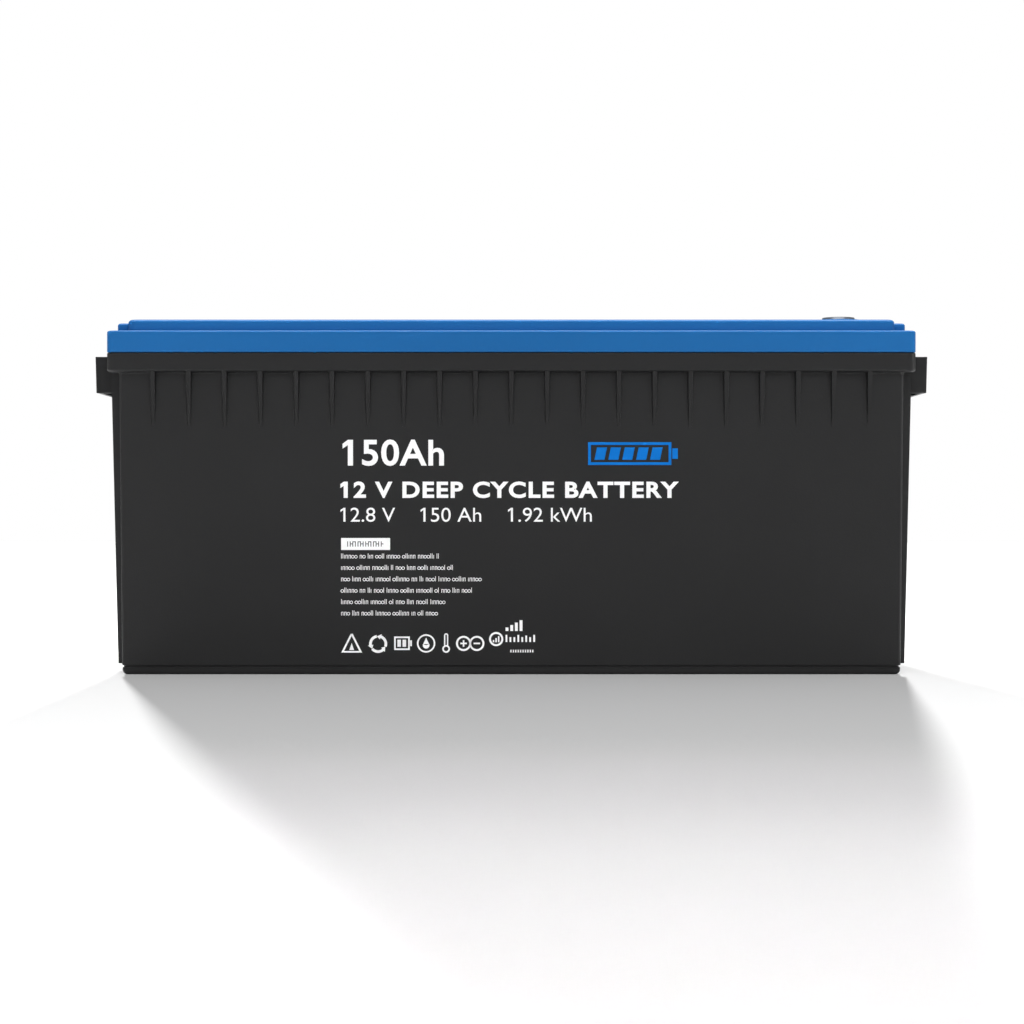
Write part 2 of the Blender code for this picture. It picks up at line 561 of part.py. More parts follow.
harness = add("balance_harness", tube(smooth([
    (BOARD_X + 5.0, 0.0, 146.4), (BOARD_X + 5.0, 0.0, 170.0), (54.0, 0.0, 190.0), (20.0, 0.0, 193.0),
    (-60.0, 0.0, 193.0), (CELL_X[0] - 4.0, 0.0, 193.0)]), 2.2), "white")
taps = bmesh.new()
TAPS = ((CELL_X[0], -1), ((CELL_X[0] + CELL_X[1]) / 2, 1), (STACK_X, -1),
        ((CELL_X[2] + CELL_X[3]) / 2, 1), (CELL_X[3], -1))
for x, side in TAPS:
    branch = tube([(x, side * 0.5, 193.0), (x, side * 25.0, 191.5), (x, side * 46.0, 186.5),
                   (x, side * 53.8, 185.2)], 1.0, 1)
    carrier = bpy.data.meshes.new("tap")
    branch.to_mesh(carrier)
    branch.free()
    taps.from_mesh(carrier)
    bpy.data.meshes.remove(carrier)
change(harness, "UNION", taps, "harness_taps")

module = add("wireless_module", boxes((185.0, 215.0, -12.0, 12.0, 150.6, 152.2)), "board")
change(module, "UNION", boxes((190.0, 206.0, -8.0, 8.0, 151.5, 154.4),
                              (186.0, 188.6, -6.0, 6.0, 151.5, 156.0)), "wireless_parts")
add("wireless_lead", tube(smooth([
    (BOARD_X + 4.6, 50.0, 142.4), (BOARD_X + 4.6, 50.0, 148.0), (BOARD_X + 5.4, 50.0, 156.0),
    (90.0, 44.0, 168.0), (140.0, 18.0, 166.0),
    (172.0, 2.0, 157.0), (185.6, 0.0, 154.4)]), 1.2, 1), "white")

# ---------------------------------------------------------------- packing
add("foam_left", boxes((-PACKING_REACH, STACK_LEFT - 8.0, -PACKING_SIDE, PACKING_SIDE,
                        CELL_BASE, FOAM_TOP[0])), "foam")
add("foam_right", boxes((150.0, PACKING_REACH, -PACKING_SIDE, PACKING_SIDE, CELL_BASE, FOAM_TOP[1])), "foam")
add("floor_pad", boxes((-PACKING_REACH, PACKING_REACH, -PACKING_SIDE, PACKING_SIDE,
                        CAVITY_FLOOR + 0.2, CELL_BASE - 0.2)), "foam")

# ---------------------------------------------------------------- pressure relief valve
turned("valve_body", [
    (5.9, 222.2), (12.6, 222.2), (13.0, 221.8), (13.0, 220.2), (8.1, 220.2), (8.1, 204.0), (2.6, 204.0),
    (2.6, 207.0), (5.9, 207.0)], (VALVE_X, 0.0, 207.0), 20, "black", closed=True)
turned("valve_poppet", [
    (0.0, 219.8), (1.4, 219.8), (1.4, 209.1), (4.9, 209.1), (4.9, 207.1), (0.0, 207.1)],
       (VALVE_X, 0.0, 207.1), 16, "rubber")
turned("valve_cap", [
    (1.6, 221.9), (5.0, 221.9), (5.7, 221.4), (5.7, 219.0), (1.6, 219.0)],
       (VALVE_X, 0.0, 219.0), 20, "black", closed=True)
cap = bpy.data.objects["valve_cap"]
vents = [(0.8, (VALVE_X + 3.6 * math.cos(a), 3.6 * math.sin(a), 215.0),
          (VALVE_X + 3.6 * math.cos(a), 3.6 * math.sin(a), 225.0)) for a in (0.785, 2.356, 3.927, 5.498)]
change(cap, "DIFFERENCE", rods(*vents, sides=8), "cap_vents")

SPRING_TURNS = 5.0
SPRING_BASE = 209.6
SPRING_TOP = 218.5
wire = bpy.data.curves.new("valve_spring", "CURVE")
wire.dimensions = "3D"
wire.bevel_depth = 0.35 * MM
wire.bevel_resolution = 1
wire.use_fill_caps = True
spline = wire.splines.new("POLY")
count = int(SPRING_TURNS * 12) + 1
spline.points.add(count - 1)
for k in range(count):
    t = k / (count - 1)
    angle = 2 * math.pi * SPRING_TURNS * t
    spline.points[k].co = (2.9 * MM * math.cos(angle), 2.9 * MM * math.sin(angle),
                           (SPRING_TOP - SPRING_BASE) * t * MM, 1.0)
spring = bpy.data.objects.new("valve_spring", wire)
spring.location = (VALVE_X * MM, 0.0, SPRING_BASE * MM)
PART.objects.link(spring)
steel = bpy.data.materials.new("valve_spring")
steel.use_nodes = True
steel.node_tree.nodes["Principled BSDF"].inputs["Base Color"].default_value = (*SHADES["steel"], 1.0)
steel.node_tree.nodes["Principled BSDF"].inputs["Metallic"].default_value = 1.0
wire.materials.append(steel)
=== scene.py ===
"""Looks of the twelve-volt deep cycle battery: fine shells, turned metal, print, studio."""
import json
import math

import bmesh
import bpy
from mathutils import Matrix, Vector

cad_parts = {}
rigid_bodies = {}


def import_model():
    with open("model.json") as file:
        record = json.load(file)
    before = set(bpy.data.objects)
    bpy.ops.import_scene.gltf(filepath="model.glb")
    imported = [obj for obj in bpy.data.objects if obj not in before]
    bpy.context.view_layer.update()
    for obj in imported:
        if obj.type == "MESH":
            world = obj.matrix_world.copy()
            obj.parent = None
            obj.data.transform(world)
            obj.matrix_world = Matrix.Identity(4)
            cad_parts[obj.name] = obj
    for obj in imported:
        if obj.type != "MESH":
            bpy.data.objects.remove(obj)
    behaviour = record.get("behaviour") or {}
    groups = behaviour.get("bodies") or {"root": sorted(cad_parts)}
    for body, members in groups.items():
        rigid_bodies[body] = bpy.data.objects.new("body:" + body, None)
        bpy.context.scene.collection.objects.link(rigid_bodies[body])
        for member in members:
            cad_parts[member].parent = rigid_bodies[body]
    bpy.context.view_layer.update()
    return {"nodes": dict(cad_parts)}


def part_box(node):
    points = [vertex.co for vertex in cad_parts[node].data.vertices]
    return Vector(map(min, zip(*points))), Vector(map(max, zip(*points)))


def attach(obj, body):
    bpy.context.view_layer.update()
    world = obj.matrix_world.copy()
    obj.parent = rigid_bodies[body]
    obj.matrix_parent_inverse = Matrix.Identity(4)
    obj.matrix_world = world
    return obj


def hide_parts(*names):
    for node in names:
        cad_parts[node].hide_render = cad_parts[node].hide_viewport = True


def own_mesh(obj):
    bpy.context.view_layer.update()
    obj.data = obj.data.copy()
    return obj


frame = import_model()
MM = 0.001


def span(node):
    """Lowest and highest corner of a CAD node in millimetres."""
    low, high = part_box(node)
    return Vector(low) / MM, Vector(high) / MM


def middle(name):
    """Where the upright axis of a CAD node stands."""
    low, high = span(name)
    return (low.x + high.x) / 2, (low.y + high.y) / 2


CASE_HIGH = span("case")[1]
LID_LOW, LID_HIGH = span("lid")
FRONT_POST_LOW, FRONT_POST_HIGH = span("terminal_post_front")

# ---------------------------------------------------------------- case, millimetres
COLLAR = (LID_HIGH.x, LID_HIGH.y)
COLLAR_CORNER = 5.0
COLLAR_TOP = CASE_HIGH.z
COLLAR_BASE = COLLAR_TOP - 11.7
COLLAR_ROUND = (1.6, 0.6)
WALL_TOP = (COLLAR[0] - 7.2, COLLAR[1] - 5.0)
WALL_BOTTOM = (COLLAR[0] - 8.6, COLLAR[1] - 7.0)
WALL_CORNER = 2.0
FOOT = (COLLAR[0] - 8.8, COLLAR[1] - 7.4)
FOOT_TOP = 4.6
FOOT_ROUND = 3.0
WALL_FOOT = FOOT_TOP + 1.6
WALL_HEAD = COLLAR_BASE - 1.5
CAVITY_FLOOR = 4.0
CAVITY_BOTTOM = (COLLAR[0] - 12.0, COLLAR[1] - 10.2)
CAVITY_TOP = (COLLAR[0] - 10.6, COLLAR[1] - 8.5)
CAVITY_CORNER = 2.0
# Half widths of a rib, first where it meets the wall, then at its face.
RIB_TOP = (2.3, 1.45)
RIB_BOTTOM = (1.5, 0.85)
RIB_HEAD = COLLAR_BASE + 1.0
FRONT_RIBS = 21
FRONT_RIB_PITCH = 22.15
FRONT_RIB_BASE = 151.0
FRONT_RIB_ROOT = WALL_BOTTOM[1] - 0.1
FRONT_RIB_FACE = (FRONT_RIB_ROOT + 1.5, COLLAR[1] - 0.7)
LONG_RIB_Y = 101.5
LONG_RIB_FACE = COLLAR[0] - 0.4
SHORT_RIBS = 8
SHORT_RIB_PITCH = 22.0
SHORT_RIB_TOP = 140.0
SHORT_RIB_FACE = COLLAR[0] - 1.6
END_RIB_ROOT = WALL_BOTTOM[0] - 0.8
END_RIB_FOOT = (COLLAR[0] - 4.7, FOOT_TOP + 1.7)
GRIP_REACH = CASE_HIGH.x
GRIP_LEAN = 0.6
GRIP_ROOT = 241.2
GRIP_HALF_WIDTH = 95.0
GRIP_Z = (175.4, 198.0)
POCKET = (243.4, 257.8)
POCKET_HALF_WIDTH = 91.5
POCKET_Z = (170.0, 194.5)
BOSS_RADIUS = 4.5
PILOT_RADIUS = 2.2
PILOT_Z = (176.0, 205.0)
WEB_HALF = 1.2
WEB_Y = (104.0, 112.4)
WEB_Z = (FOOT_TOP + 4.0, LID_LOW.z - 0.5)
# Outer and inner edge of the gasket's groove: half x, half y, corner radius.
GASKET_GROOVE = ((247.2, 117.2, 5.0), (244.8, 114.8, 3.0))
GASKET_DEPTH = 1.6

# ---------------------------------------------------------------- lid, millimetres
LID_BASE = LID_LOW.z + 4.7
LID_WALL = 3.0
BAND_TOP = 212.7
BAND_ROUND = 1.3
PAD = (COLLAR[0] - 4.3, COLLAR[1] - 16.0)
PAD_TOP = 218.4
PAD_CORNER = 2.5
PAD_ROUND = 1.6
DECK = (COLLAR[0] - 12.2, COLLAR[1] - 6.0)
DECK_TOP = 220.0
DECK_CORNER = 5.0
DECK_ROUND = 2.2
LIP = (COLLAR[0] - 11.0, COLLAR[1] - 9.0)
LIP_CORNER = 1.9
LIP_INSIDE = (COLLAR[0] - 13.5, COLLAR[1] - 11.7)
DECK_INSIDE = (COLLAR[0] - 16.2, COLLAR[1] - 11.7)
INSIDE_CORNER = 1.0
RING_RADIUS = 16.8
RING_TOP = LID_HIGH.z
RING_BASE = 214.0
SEAT_GAP = 0.25
SEAT_FLARE = 0.9
SEAT_FLOOR = 219.0
POST_BORE = 7.25
SEAL_GROOVE = (8.0, 9.8, 217.9)
VALVE_BORE = 8.4
UNDER_DECK = 205.0
ABOVE_DECK = 225.0
SCREW_X = (-228.0, -76.0, 76.0, 228.0)
SCREW_Y = 102.5
SCREW_SPOTS = [(x, side * SCREW_Y) for x in SCREW_X for side in (-1, 1)]
SCREW_SEAT = 213.5
TOWER_RADIUS = 6.0
SINK_RADIUS = 4.2
SHAFT_RADIUS = 2.3
SHAFT_FOOT = 190.0
MARK_SHIFT = 29.0
MARK_ARM = 4.5
MARK_HALF = 0.9
MARK_RISE = 0.5

# ---------------------------------------------------------------- turned pieces, millimetres
POST_TOP = FRONT_POST_HIGH.z
POST_RADIUS = (FRONT_POST_HIGH.x - FRONT_POST_LOW.x) / 2
POST_X = (FRONT_POST_HIGH.x + FRONT_POST_LOW.x) / 2
POST_Y = middle("terminal_post_rear")[1]
POST_ROUND = 0.35
POST_HEAD = 219.3
POST_SHANK = 7.0
POST_HOLE = 3.4
POST_PITCH = 1.25
SCREW_SHANK = 2.0
SCREW_HEAD = 3.8
SCREW_RISE = 2.6
SOCKET_RADIUS = 1.7
TERMINAL_BORE = 7.3
CELL_BORE = 3.2
CELL_NUTS = 8
VALVE_SHANK = 8.1
VALVE_HOLLOW = 5.9
VALVE_FLOOR = 207.0
STEM_HOLE = 2.6
NOTCHES = 24
NOTCH_RADIUS = 0.8
CAP_RADIUS = 5.7
CAP_HOLE = 1.6
VENT_RADIUS = 0.8
VENT_RING = 3.6
VENT_ANGLES = (0.785, 2.356, 3.927, 5.498)
POPPET_RADIUS = 4.9
STEM_RADIUS = 1.4
SPRING_WIRE = 0.35
SPRING_TURNS = 5
SPRING_STEPS = 32

# ---------------------------------------------------------------- shading, print and studio
SMALL_ANGLE = 35.0
SHELL_ANGLE = 32.0
SEAL_ANGLE = 60.0
WELD = 0.000001
GRAIN_HEIGHT = 0.0002
STREAK_HEIGHT = 0.0001
TURNING_HEIGHT = 0.00005
INK = 0.06
LINE = 1.0
STROKE = 0.36
EYE = Vector((0.4, -1520.0, 100.7))
LENS = 79.85
SENSOR = 36.0
FLOOR_HALF = 6000.0
WORLD_POWER = 0.18
FILL_POWER = 35.5
KICK_POWER = 0.2
KICK_BEAM = 16.0
TOP_POWER = 88.0
RIGHT_POWER = 14.0
LEFT_POWER = 3.0
GLINT_POWER = 4.6
SKY_POWER = 9.0
TALL_STRIP_POWER = 8.0
LOW_STRIP_POWER = 12.0
STRIP_BEAM = 28.0
SIDE_SUN_POWER = 10.5
SIDE_SUN_LIFT = 11.0
SIDE_SUN_ANGLE = 3.0


# ---------------------------------------------------------------- materials
def node(tree, kind, **values):
    """A shader node with its properties and its inputs set by name."""
    made = tree.nodes.new(kind)
    for key, value in values.items():
        if hasattr(made, key):
            setattr(made, key, value)
        else:
            made.inputs[key.replace("_", " ")].default_value = value
    return made


def material(name):
    """A new material, its node tree and its shader."""
    made = bpy.data.materials.new(name)
    made.use_nodes = True
    return made, made.node_tree, made.node_tree.nodes["Principled BSDF"]


def object_place(tree):
    return node(tree, "ShaderNodeTexCoord").outputs["Object"]


def noise(tree, place, scale, detail):
    made = node(tree, "ShaderNodeTexNoise", Scale=scale, Detail=detail)
    tree.links.new(place, made.inputs["Vector"])
    return made.outputs["Fac"]


def spread(tree, source, low, high):
    """Maps a texture's middle values onto a range."""
    ranged = node(tree, "ShaderNodeMapRange", From_Min=0.3, From_Max=0.7, To_Min=low, To_Max=high)
    tree.links.new(source, ranged.inputs["Value"])
    return ranged.outputs["Result"]


def tint(tree, factor, dark, light):
    mixed = node(tree, "ShaderNodeMix", data_type="RGBA")
    mixed.inputs["A"].default_value = (*dark, 1.0)
    mixed.inputs["B"].default_value = (*light, 1.0)
    tree.links.new(factor, mixed.inputs["Factor"])
    return mixed.outputs["Result"]


def finish(tree, shader, tone, colours, gloss, roughness):
    """One texture runs the colour between two tones, another the roughness through its range."""
    tree.links.new(tint(tree, spread(tree, tone, 0.0, 1.0), *colours), shader.inputs["Base Color"])
    tree.links.new(spread(tree, gloss, *roughness), shader.inputs["Roughness"])


def relief(tree, shader, height, strength, distance):
    bump = node(tree, "ShaderNodeBump", Strength=strength, Distance=distance)
    tree.links.new(height, bump.inputs["Height"])
    tree.links.new(bump.outputs["Normal"], shader.inputs["Normal"])


def grained(name, dark, light, roughness, grain=900.0, depth=0.12, cloud=14.0, specular=0.5):
    """Moulded plastic or rubber: fine spark-eroded grain, faint cloudiness in colour and gloss."""
    made, tree, shader = material(name)
    place = object_place(tree)
    clouds = noise(tree, place, cloud, 3.0)
    fine = noise(tree, place, grain, 2.0)
    pits = node(tree, "ShaderNodeTexVoronoi", Scale=grain * 0.9)
    tree.links.new(place, pits.inputs["Vector"])
    finish(tree, shader, clouds, (dark, light), fine, roughness)
    added = node(tree, "ShaderNodeMath", operation="ADD")
    tree.links.new(fine, added.inputs[0])
    tree.links.new(pits.outputs["Distance"], added.inputs[1])
    relief(tree, shader, added.outputs["Value"], depth, GRAIN_HEIGHT)
    shader.inputs["Specular IOR Level"].default_value = specular
    return made


def metal(name, dark, light, roughness, stretch):
    """Drawn or rolled metal: streaks along the axis that is stretched least."""
    made, tree, shader = material(name)
    mapping = node(tree, "ShaderNodeMapping", Scale=stretch)
    tree.links.new(object_place(tree), mapping.inputs["Vector"])
    streaks = noise(tree, mapping.outputs["Vector"], 400.0, 4.0)
    finish(tree, shader, streaks, (dark, light), streaks, roughness)
    relief(tree, shader, streaks, 0.08, STREAK_HEIGHT)
    shader.inputs["Metallic"].default_value = 1.0
    return made


def turned_metal(name, dark, light, roughness):
    """Lathe-turned metal: fine rings about the piece's own axis."""
    made, tree, shader = material(name)
    place = object_place(tree)
    rings = node(tree, "ShaderNodeTexWave", wave_type="RINGS", rings_direction="Z", Scale=700.0,
                 Distortion=1.5)
    tree.links.new(place, rings.inputs["Vector"])
    wear = noise(tree, place, 180.0, 4.0)
    finish(tree, shader, wear, (dark, light), wear, roughness)
    relief(tree, shader, rings.outputs["Fac"], 0.15, TURNING_HEIGHT)
    shader.inputs["Metallic"].default_value = 1.0
    return made


BLACK_PLASTIC = grained("black_plastic", (0.0188, 0.0188, 0.0192), (0.0204, 0.0204, 0.0208),
                        (0.40, 0.50), specular=0.16)
BLUE_PLASTIC = grained("blue_plastic", (0.0066, 0.118, 0.352), (0.0072, 0.124, 0.364),
                       (0.30, 0.38), depth=0.06, specular=0.32)
RUBBER = grained("rubber", (0.018, 0.018, 0.018), (0.026, 0.026, 0.026), (0.6, 0.8))
SLEEVE_BLACK = grained("sleeve_black", (0.014, 0.014, 0.015), (0.022, 0.022, 0.022), (0.38, 0.5),
                       grain=500.0)
SLEEVE_RED = grained("sleeve_red", (0.42, 0.012, 0.010), (0.52, 0.022, 0.018), (0.36, 0.48),
                     grain=500.0)
SLEEVE_WHITE = grained("sleeve_white", (0.62, 0.61, 0.57), (0.72, 0.71, 0.68), (0.4, 0.55),
                       grain=500.0)
CELL_FILM = grained("cell_film", (0.016, 0.085, 0.36), (0.022, 0.11, 0.42), (0.22, 0.34),
                    grain=260.0, depth=0.05)
CARD = grained("card", (0.48, 0.42, 0.30), (0.60, 0.54, 0.41), (0.75, 0.9), grain=300.0, cloud=60.0)
FOAM = grained("foam", (0.030, 0.030, 0.033), (0.055, 0.055, 0.060), (0.85, 0.98), grain=420.0,
               depth=0.6)
BOARD = grained("circuit_board", (0.006, 0.110, 0.045), (0.010, 0.150, 0.065), (0.3, 0.45),
                grain=600.0, cloud=220.0)
MOULDED = grained("moulded_black", (0.012, 0.012, 0.013), (0.020, 0.020, 0.021), (0.4, 0.52))
WHITE_PRINT = grained("white_print", (0.93, 0.93, 0.93), (0.97, 0.97, 0.97), (0.5, 0.6), depth=0.03)
BLUE_PRINT = grained("blue_print", (0.003, 0.155, 0.54), (0.004, 0.165, 0.58), (0.5, 0.6),
                     depth=0.03, specular=0.08)
DARK_PRINT = grained("dark_print", (0.018, 0.018, 0.018), (0.024, 0.024, 0.024), (0.45, 0.55),
                     depth=0.03, specular=0.3)
TIN = turned_metal("tinned_terminal", (0.56, 0.60, 0.66), (0.68, 0.72, 0.78), (0.26, 0.38))
ZINC = turned_metal("zinc_plate", (0.52, 0.53, 0.55), (0.68, 0.69, 0.70), (0.26, 0.42))
STRAP_STEEL = metal("strap_steel", (0.40, 0.41, 0.43), (0.56, 0.57, 0.58), (0.28, 0.44),
                    (0.05, 0.05, 1.0))
ALLOY = metal("mill_alloy", (0.62, 0.63, 0.65), (0.76, 0.77, 0.78), (0.3, 0.46), (1.0, 0.06, 1.0))
COPPER = metal("rolled_copper", (0.66, 0.30, 0.17), (0.82, 0.43, 0.28), (0.24, 0.4), (0.06, 1.0, 1.0))


# ---------------------------------------------------------------- objects, given in millimetres
def piece(name, bm, surface, body="housing", at=(0.0, 0.0, 0.0), smooth=SMALL_ANGLE):
    """A visible object from a bmesh in millimetres; at is its own origin."""
    for vertex in bm.verts:
        vertex.co = (vertex.co - Vector(at)) * MM
    mesh = bpy.data.meshes.new(name)
    bm.to_mesh(mesh)
    bm.free()
    made = bpy.data.objects.new(name, mesh)
    made.location = Vector(at) * MM
    bpy.context.scene.collection.objects.link(made)
    mesh.materials.append(surface)
    mesh.shade_smooth()
    mesh.set_sharp_from_angle(angle=math.radians(smooth))
    if body:
        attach(made, body)
    return made


def as_mesh(made):
    """The mesh that an object shows, with its modifiers or its lettering worked out."""
    bpy.context.view_layer.update()
    return bpy.data.meshes.new_from_object(made.evaluated_get(bpy.context.evaluated_depsgraph_get()))


def settle(made):
    """Turns an object's modifiers into its own mesh."""
    result = as_mesh(made)
    made.modifiers.clear()
    made.data = result


def change(made, operation, bm):
    """Joins or cuts an object with the solids in a bmesh, at once."""
    for vertex in bm.verts:
        vertex.co = vertex.co * MM
    mesh = bpy.data.meshes.new("tool")
    bm.to_mesh(mesh)
    bm.free()
    tool = bpy.data.objects.new("tool", mesh)
    bpy.context.scene.collection.objects.link(tool)
    boolean = made.modifiers.new("cut", "BOOLEAN")
    boolean.operation = operation
    boolean.solver = "EXACT"
    boolean.object = tool
    settle(made)
    bpy.data.objects.remove(tool, do_unlink=True)


def weld(mesh):
    """Joins points that lie within a micron of each other."""
    bm = bmesh.new()
    bm.from_mesh(mesh)
    bmesh.ops.remove_doubles(bm, verts=bm.verts, dist=WELD)
    bm.to_mesh(mesh)
    bm.free()


def finish_shading(made, angle=SMALL_ANGLE):
    """Smooth edges, sharp corners, and large flats that keep their own normal."""
    weld(made.data)
    made.data.shade_smooth()
    made.data.set_sharp_from_angle(angle=math.radians(angle))
    flats = made.modifiers.new("flats", "WEIGHTED_NORMAL")
    flats.mode = "FACE_AREA"
    flats.weight = 100
    flats.keep_sharp = True
    settle(made)


# ---------------------------------------------------------------- solids in a bmesh, millimetres
def solid_box(bm, x0, x1, y0, y1, z0, z1):
    centre = Vector(((x0 + x1) / 2, (y0 + y1) / 2, (z0 + z1) / 2))
    scale = Matrix.Diagonal((abs(x1 - x0), abs(y1 - y0), abs(z1 - z0), 1.0))
    bmesh.ops.create_cube(bm, size=1.0, matrix=Matrix.Translation(centre) @ scale)


def uprights(radius, spots, z0, z1, sides):
    """Vertical rods of one radius, from z0 up to z1, one at each spot."""
    bm = bmesh.new()
    for spot in spots:
        start, end = Vector((*spot, z0)), Vector((*spot, z1))
        turn = (end - start).to_track_quat("Z", "Y").to_matrix().to_4x4()
        bmesh.ops.create_cone(bm, cap_ends=True, segments=sides, radius1=radius, radius2=radius,
                              depth=(end - start).length,
                              matrix=Matrix.Translation((start + end) / 2) @ turn)
    return bm


def soften(bm, width, segments):
    """Rounds every edge of the solids in a bmesh."""
    edges = [e for e in bm.edges if e.calc_face_angle(0.0) > math.radians(25)]
    bmesh.ops.bevel(bm, geom=edges, offset=width, segments=segments, profile=0.5, affect="EDGES",
                    clamp_overlap=True)


def outline(half_x, half_y, radius, z, steps):
    """Points round a rectangle with rounded corners."""
    points = []
    for quarter, (sx, sy) in enumerate(((1, 1), (-1, 1), (-1, -1), (1, -1))):
        for step in range(steps + 1):
            angle = math.pi / 2 * (quarter + step / steps)
            points.append(Vector((sx * (half_x - radius) + radius * math.cos(angle),
                                  sy * (half_y - radius) + radius * math.sin(angle), z)))
    return points


def bridge(bm, lower, upper):
    """Joins two loops that have the same number of points."""
    for i in range(len(lower)):
        j = (i + 1) % len(lower)
        bm.faces.new((lower[i], lower[j], upper[j], upper[i]))


def loft(sections, steps=10):
    """A solid through stacked rounded rectangles given as (z, half x, half y, corner radius)."""
    bm = bmesh.new()
    rings = []
    for z, half_x, half_y, radius in sections:
        rings.append([bm.verts.new(p) for p in outline(half_x, half_y, radius, z, steps)])
    for lower, upper in zip(rings, rings[1:]):
        bridge(bm, lower, upper)
    bm.faces.new(list(reversed(rings[0])))
    bm.faces.new(rings[-1])
    return bm


def frame_ring(outer, inner, z0, z1, steps=10):
    """A rectangular ring between two rounded outlines."""
    bm = bmesh.new()
    loops = []
    for (half_x, half_y, radius), z in ((outer, z0), (outer, z1), (inner, z1), (inner, z0)):
        loops.append([bm.verts.new(p) for p in outline(half_x, half_y, radius, z, steps)])
    for k, loop in enumerate(loops):
        bridge(bm, loop, loops[(k + 1) % len(loops)])
    return bm


def round_over(z, size, corner, radius, top=True, count=5):
    """Levels of a rounded horizontal edge that ends at height z."""
    levels = []
    for step in range(count + 1):
        angle = math.pi / 2 * step / count
        inset = radius * (1 - math.cos(angle))
        drop = radius * (1 - math.sin(angle))
        level = z - drop if top else z + drop
        levels.append((level, size[0] - inset, size[1] - inset, max(corner - inset * 0.3, 0.5)))
    return levels if top else list(reversed(levels))


def solid_hull(bm, base, top):
    """A solid between two outlines that have the same number of points."""
    lower = [bm.verts.new(p) for p in base]
    upper = [bm.verts.new(p) for p in top]
    bridge(bm, lower, upper)
    bm.faces.new(list(reversed(lower)))
    bm.faces.new(upper)


def on_circle(centre, radius, angle):
    return centre[0] + radius * math.cos(angle), centre[1] + radius * math.sin(angle)


def lathe(profile, centre, steps, closed=False):
    """Spins (radius, z) points about a vertical axis; the outer side runs downwards."""
    bm = bmesh.new()
    rings = []
    for radius, z in profile:
        if radius < 0.001:
            rings.append([bm.verts.new((*centre, z))])
            continue
        rings.append([bm.verts.new((*on_circle(centre, radius, 2 * math.pi * k / steps), z))
                      for k in range(steps)])
    pairs = list(zip(rings, rings[1:]))
    if closed:
        pairs.append((rings[-1], rings[0]))
    for upper, lower in pairs:
        for k in range(steps):
            j = (k + 1) % steps
            if len(upper) == 1:
                bm.faces.new((upper[0], lower[k], lower[j]))
            elif len(lower) == 1:
                bm.faces.new((upper[k], lower[0], upper[j]))
            else:
                bm.faces.new((upper[k], lower[k], lower[j], upper[j]))
    return bm


def thread(crest, root, start, stop, pitch, flank=0.5):
    """Profile of a thread, upwards or downwards, whose last turn starts before stop."""
    way = 1 if stop > start else -1
    points = []
    z = start
    while way * z < way * stop:
        points += [(crest, z), (root, z + way * flank), (crest, z + way * 2 * flank)]
        z += way * pitch
    return points


def mirrored(side, near, far):
    """Both ends of a range on the plus or on the minus side, the lower one first."""
    return sorted((side * near, side * far))


# ---------------------------------------------------------------- case
def grown(size, amount):
    return size[0] + amount, size[1] + amount


def case_levels():
    """Levels of the outside: rounded foot, shadow groove, drafted wall, collar."""
    levels = round_over(0.0, FOOT, WALL_CORNER, FOOT_ROUND, top=False)
    for rise, inset in ((-0.35, 0.0), (0.0, 0.35), (0.05, 0.8), (0.9, 0.8)):
        levels.append((FOOT_TOP + rise, *grown(FOOT, -inset), WALL_CORNER))
    for rise, inset in ((1.0, 0.7), (1.2, 0.2)):
        levels.append((FOOT_TOP + rise, *grown(WALL_BOTTOM, -inset), WALL_CORNER))
    levels.append((WALL_FOOT, *WALL_BOTTOM, WALL_CORNER))
    levels.append((WALL_HEAD, *grown(WALL_TOP, -0.02), WALL_CORNER))
    for drop, reach in ((0.8, 0.12), (0.3, 0.5), (0.02, 1.3)):
        levels.append((COLLAR_BASE - drop, *grown(WALL_TOP, reach), WALL_CORNER + reach))
    levels += round_over(COLLAR_BASE, COLLAR, COLLAR_CORNER, COLLAR_ROUND[0], top=False)
    levels += round_over(COLLAR_TOP, COLLAR, COLLAR_CORNER, COLLAR_ROUND[1])
    return levels


def rib_section(along, side, inner, outer, half_widths, z, turned_to_end=False):
    """Tapered section of a rib, counter-clockwise from above: wide at the wall, narrow at its face."""
    wide, narrow = half_widths
    corners = [(-narrow, -outer), (narrow, -outer), (wide, -inner), (-wide, -inner)]
    if side > 0:
        corners = [(-a, -b) for a, b in corners]
    if turned_to_end:
        return [(-b, along + a, z) for a, b in corners]
    return [(along + a, b, z) for a, b in corners]


def wall_ribs():
    """Short tapered ribs under the collar, front and back."""
    bm = bmesh.new()
    low_face, high_face = FRONT_RIB_FACE
    for i in range(FRONT_RIBS):
        x = (i - (FRONT_RIBS - 1) / 2) * FRONT_RIB_PITCH
        for side in (-1, 1):
            solid_hull(bm, rib_section(x, side, FRONT_RIB_ROOT, low_face, RIB_BOTTOM, FRONT_RIB_BASE),
                       rib_section(x, side, FRONT_RIB_ROOT, high_face, RIB_TOP, RIB_HEAD))
    soften(bm, 0.3, 2)
    return bm


def end_ribs():
    """Long ribs beside the grips, shorter ones below them."""
    bm = bmesh.new()
    ribs = [(y, RIB_HEAD, LONG_RIB_FACE) for y in (-LONG_RIB_Y, LONG_RIB_Y)]
    ribs += [((i - (SHORT_RIBS - 1) / 2) * SHORT_RIB_PITCH, SHORT_RIB_TOP, SHORT_RIB_FACE)
             for i in range(SHORT_RIBS)]
    low_face, foot = END_RIB_FOOT
    for y, top, face in ribs:
        for side in (-1, 1):
            solid_hull(bm, rib_section(y, side, END_RIB_ROOT, low_face, RIB_BOTTOM, foot, True),
                       rib_section(y, side, END_RIB_ROOT, face, RIB_TOP, top, True))
    soften(bm, 0.35, 2)
    return bm


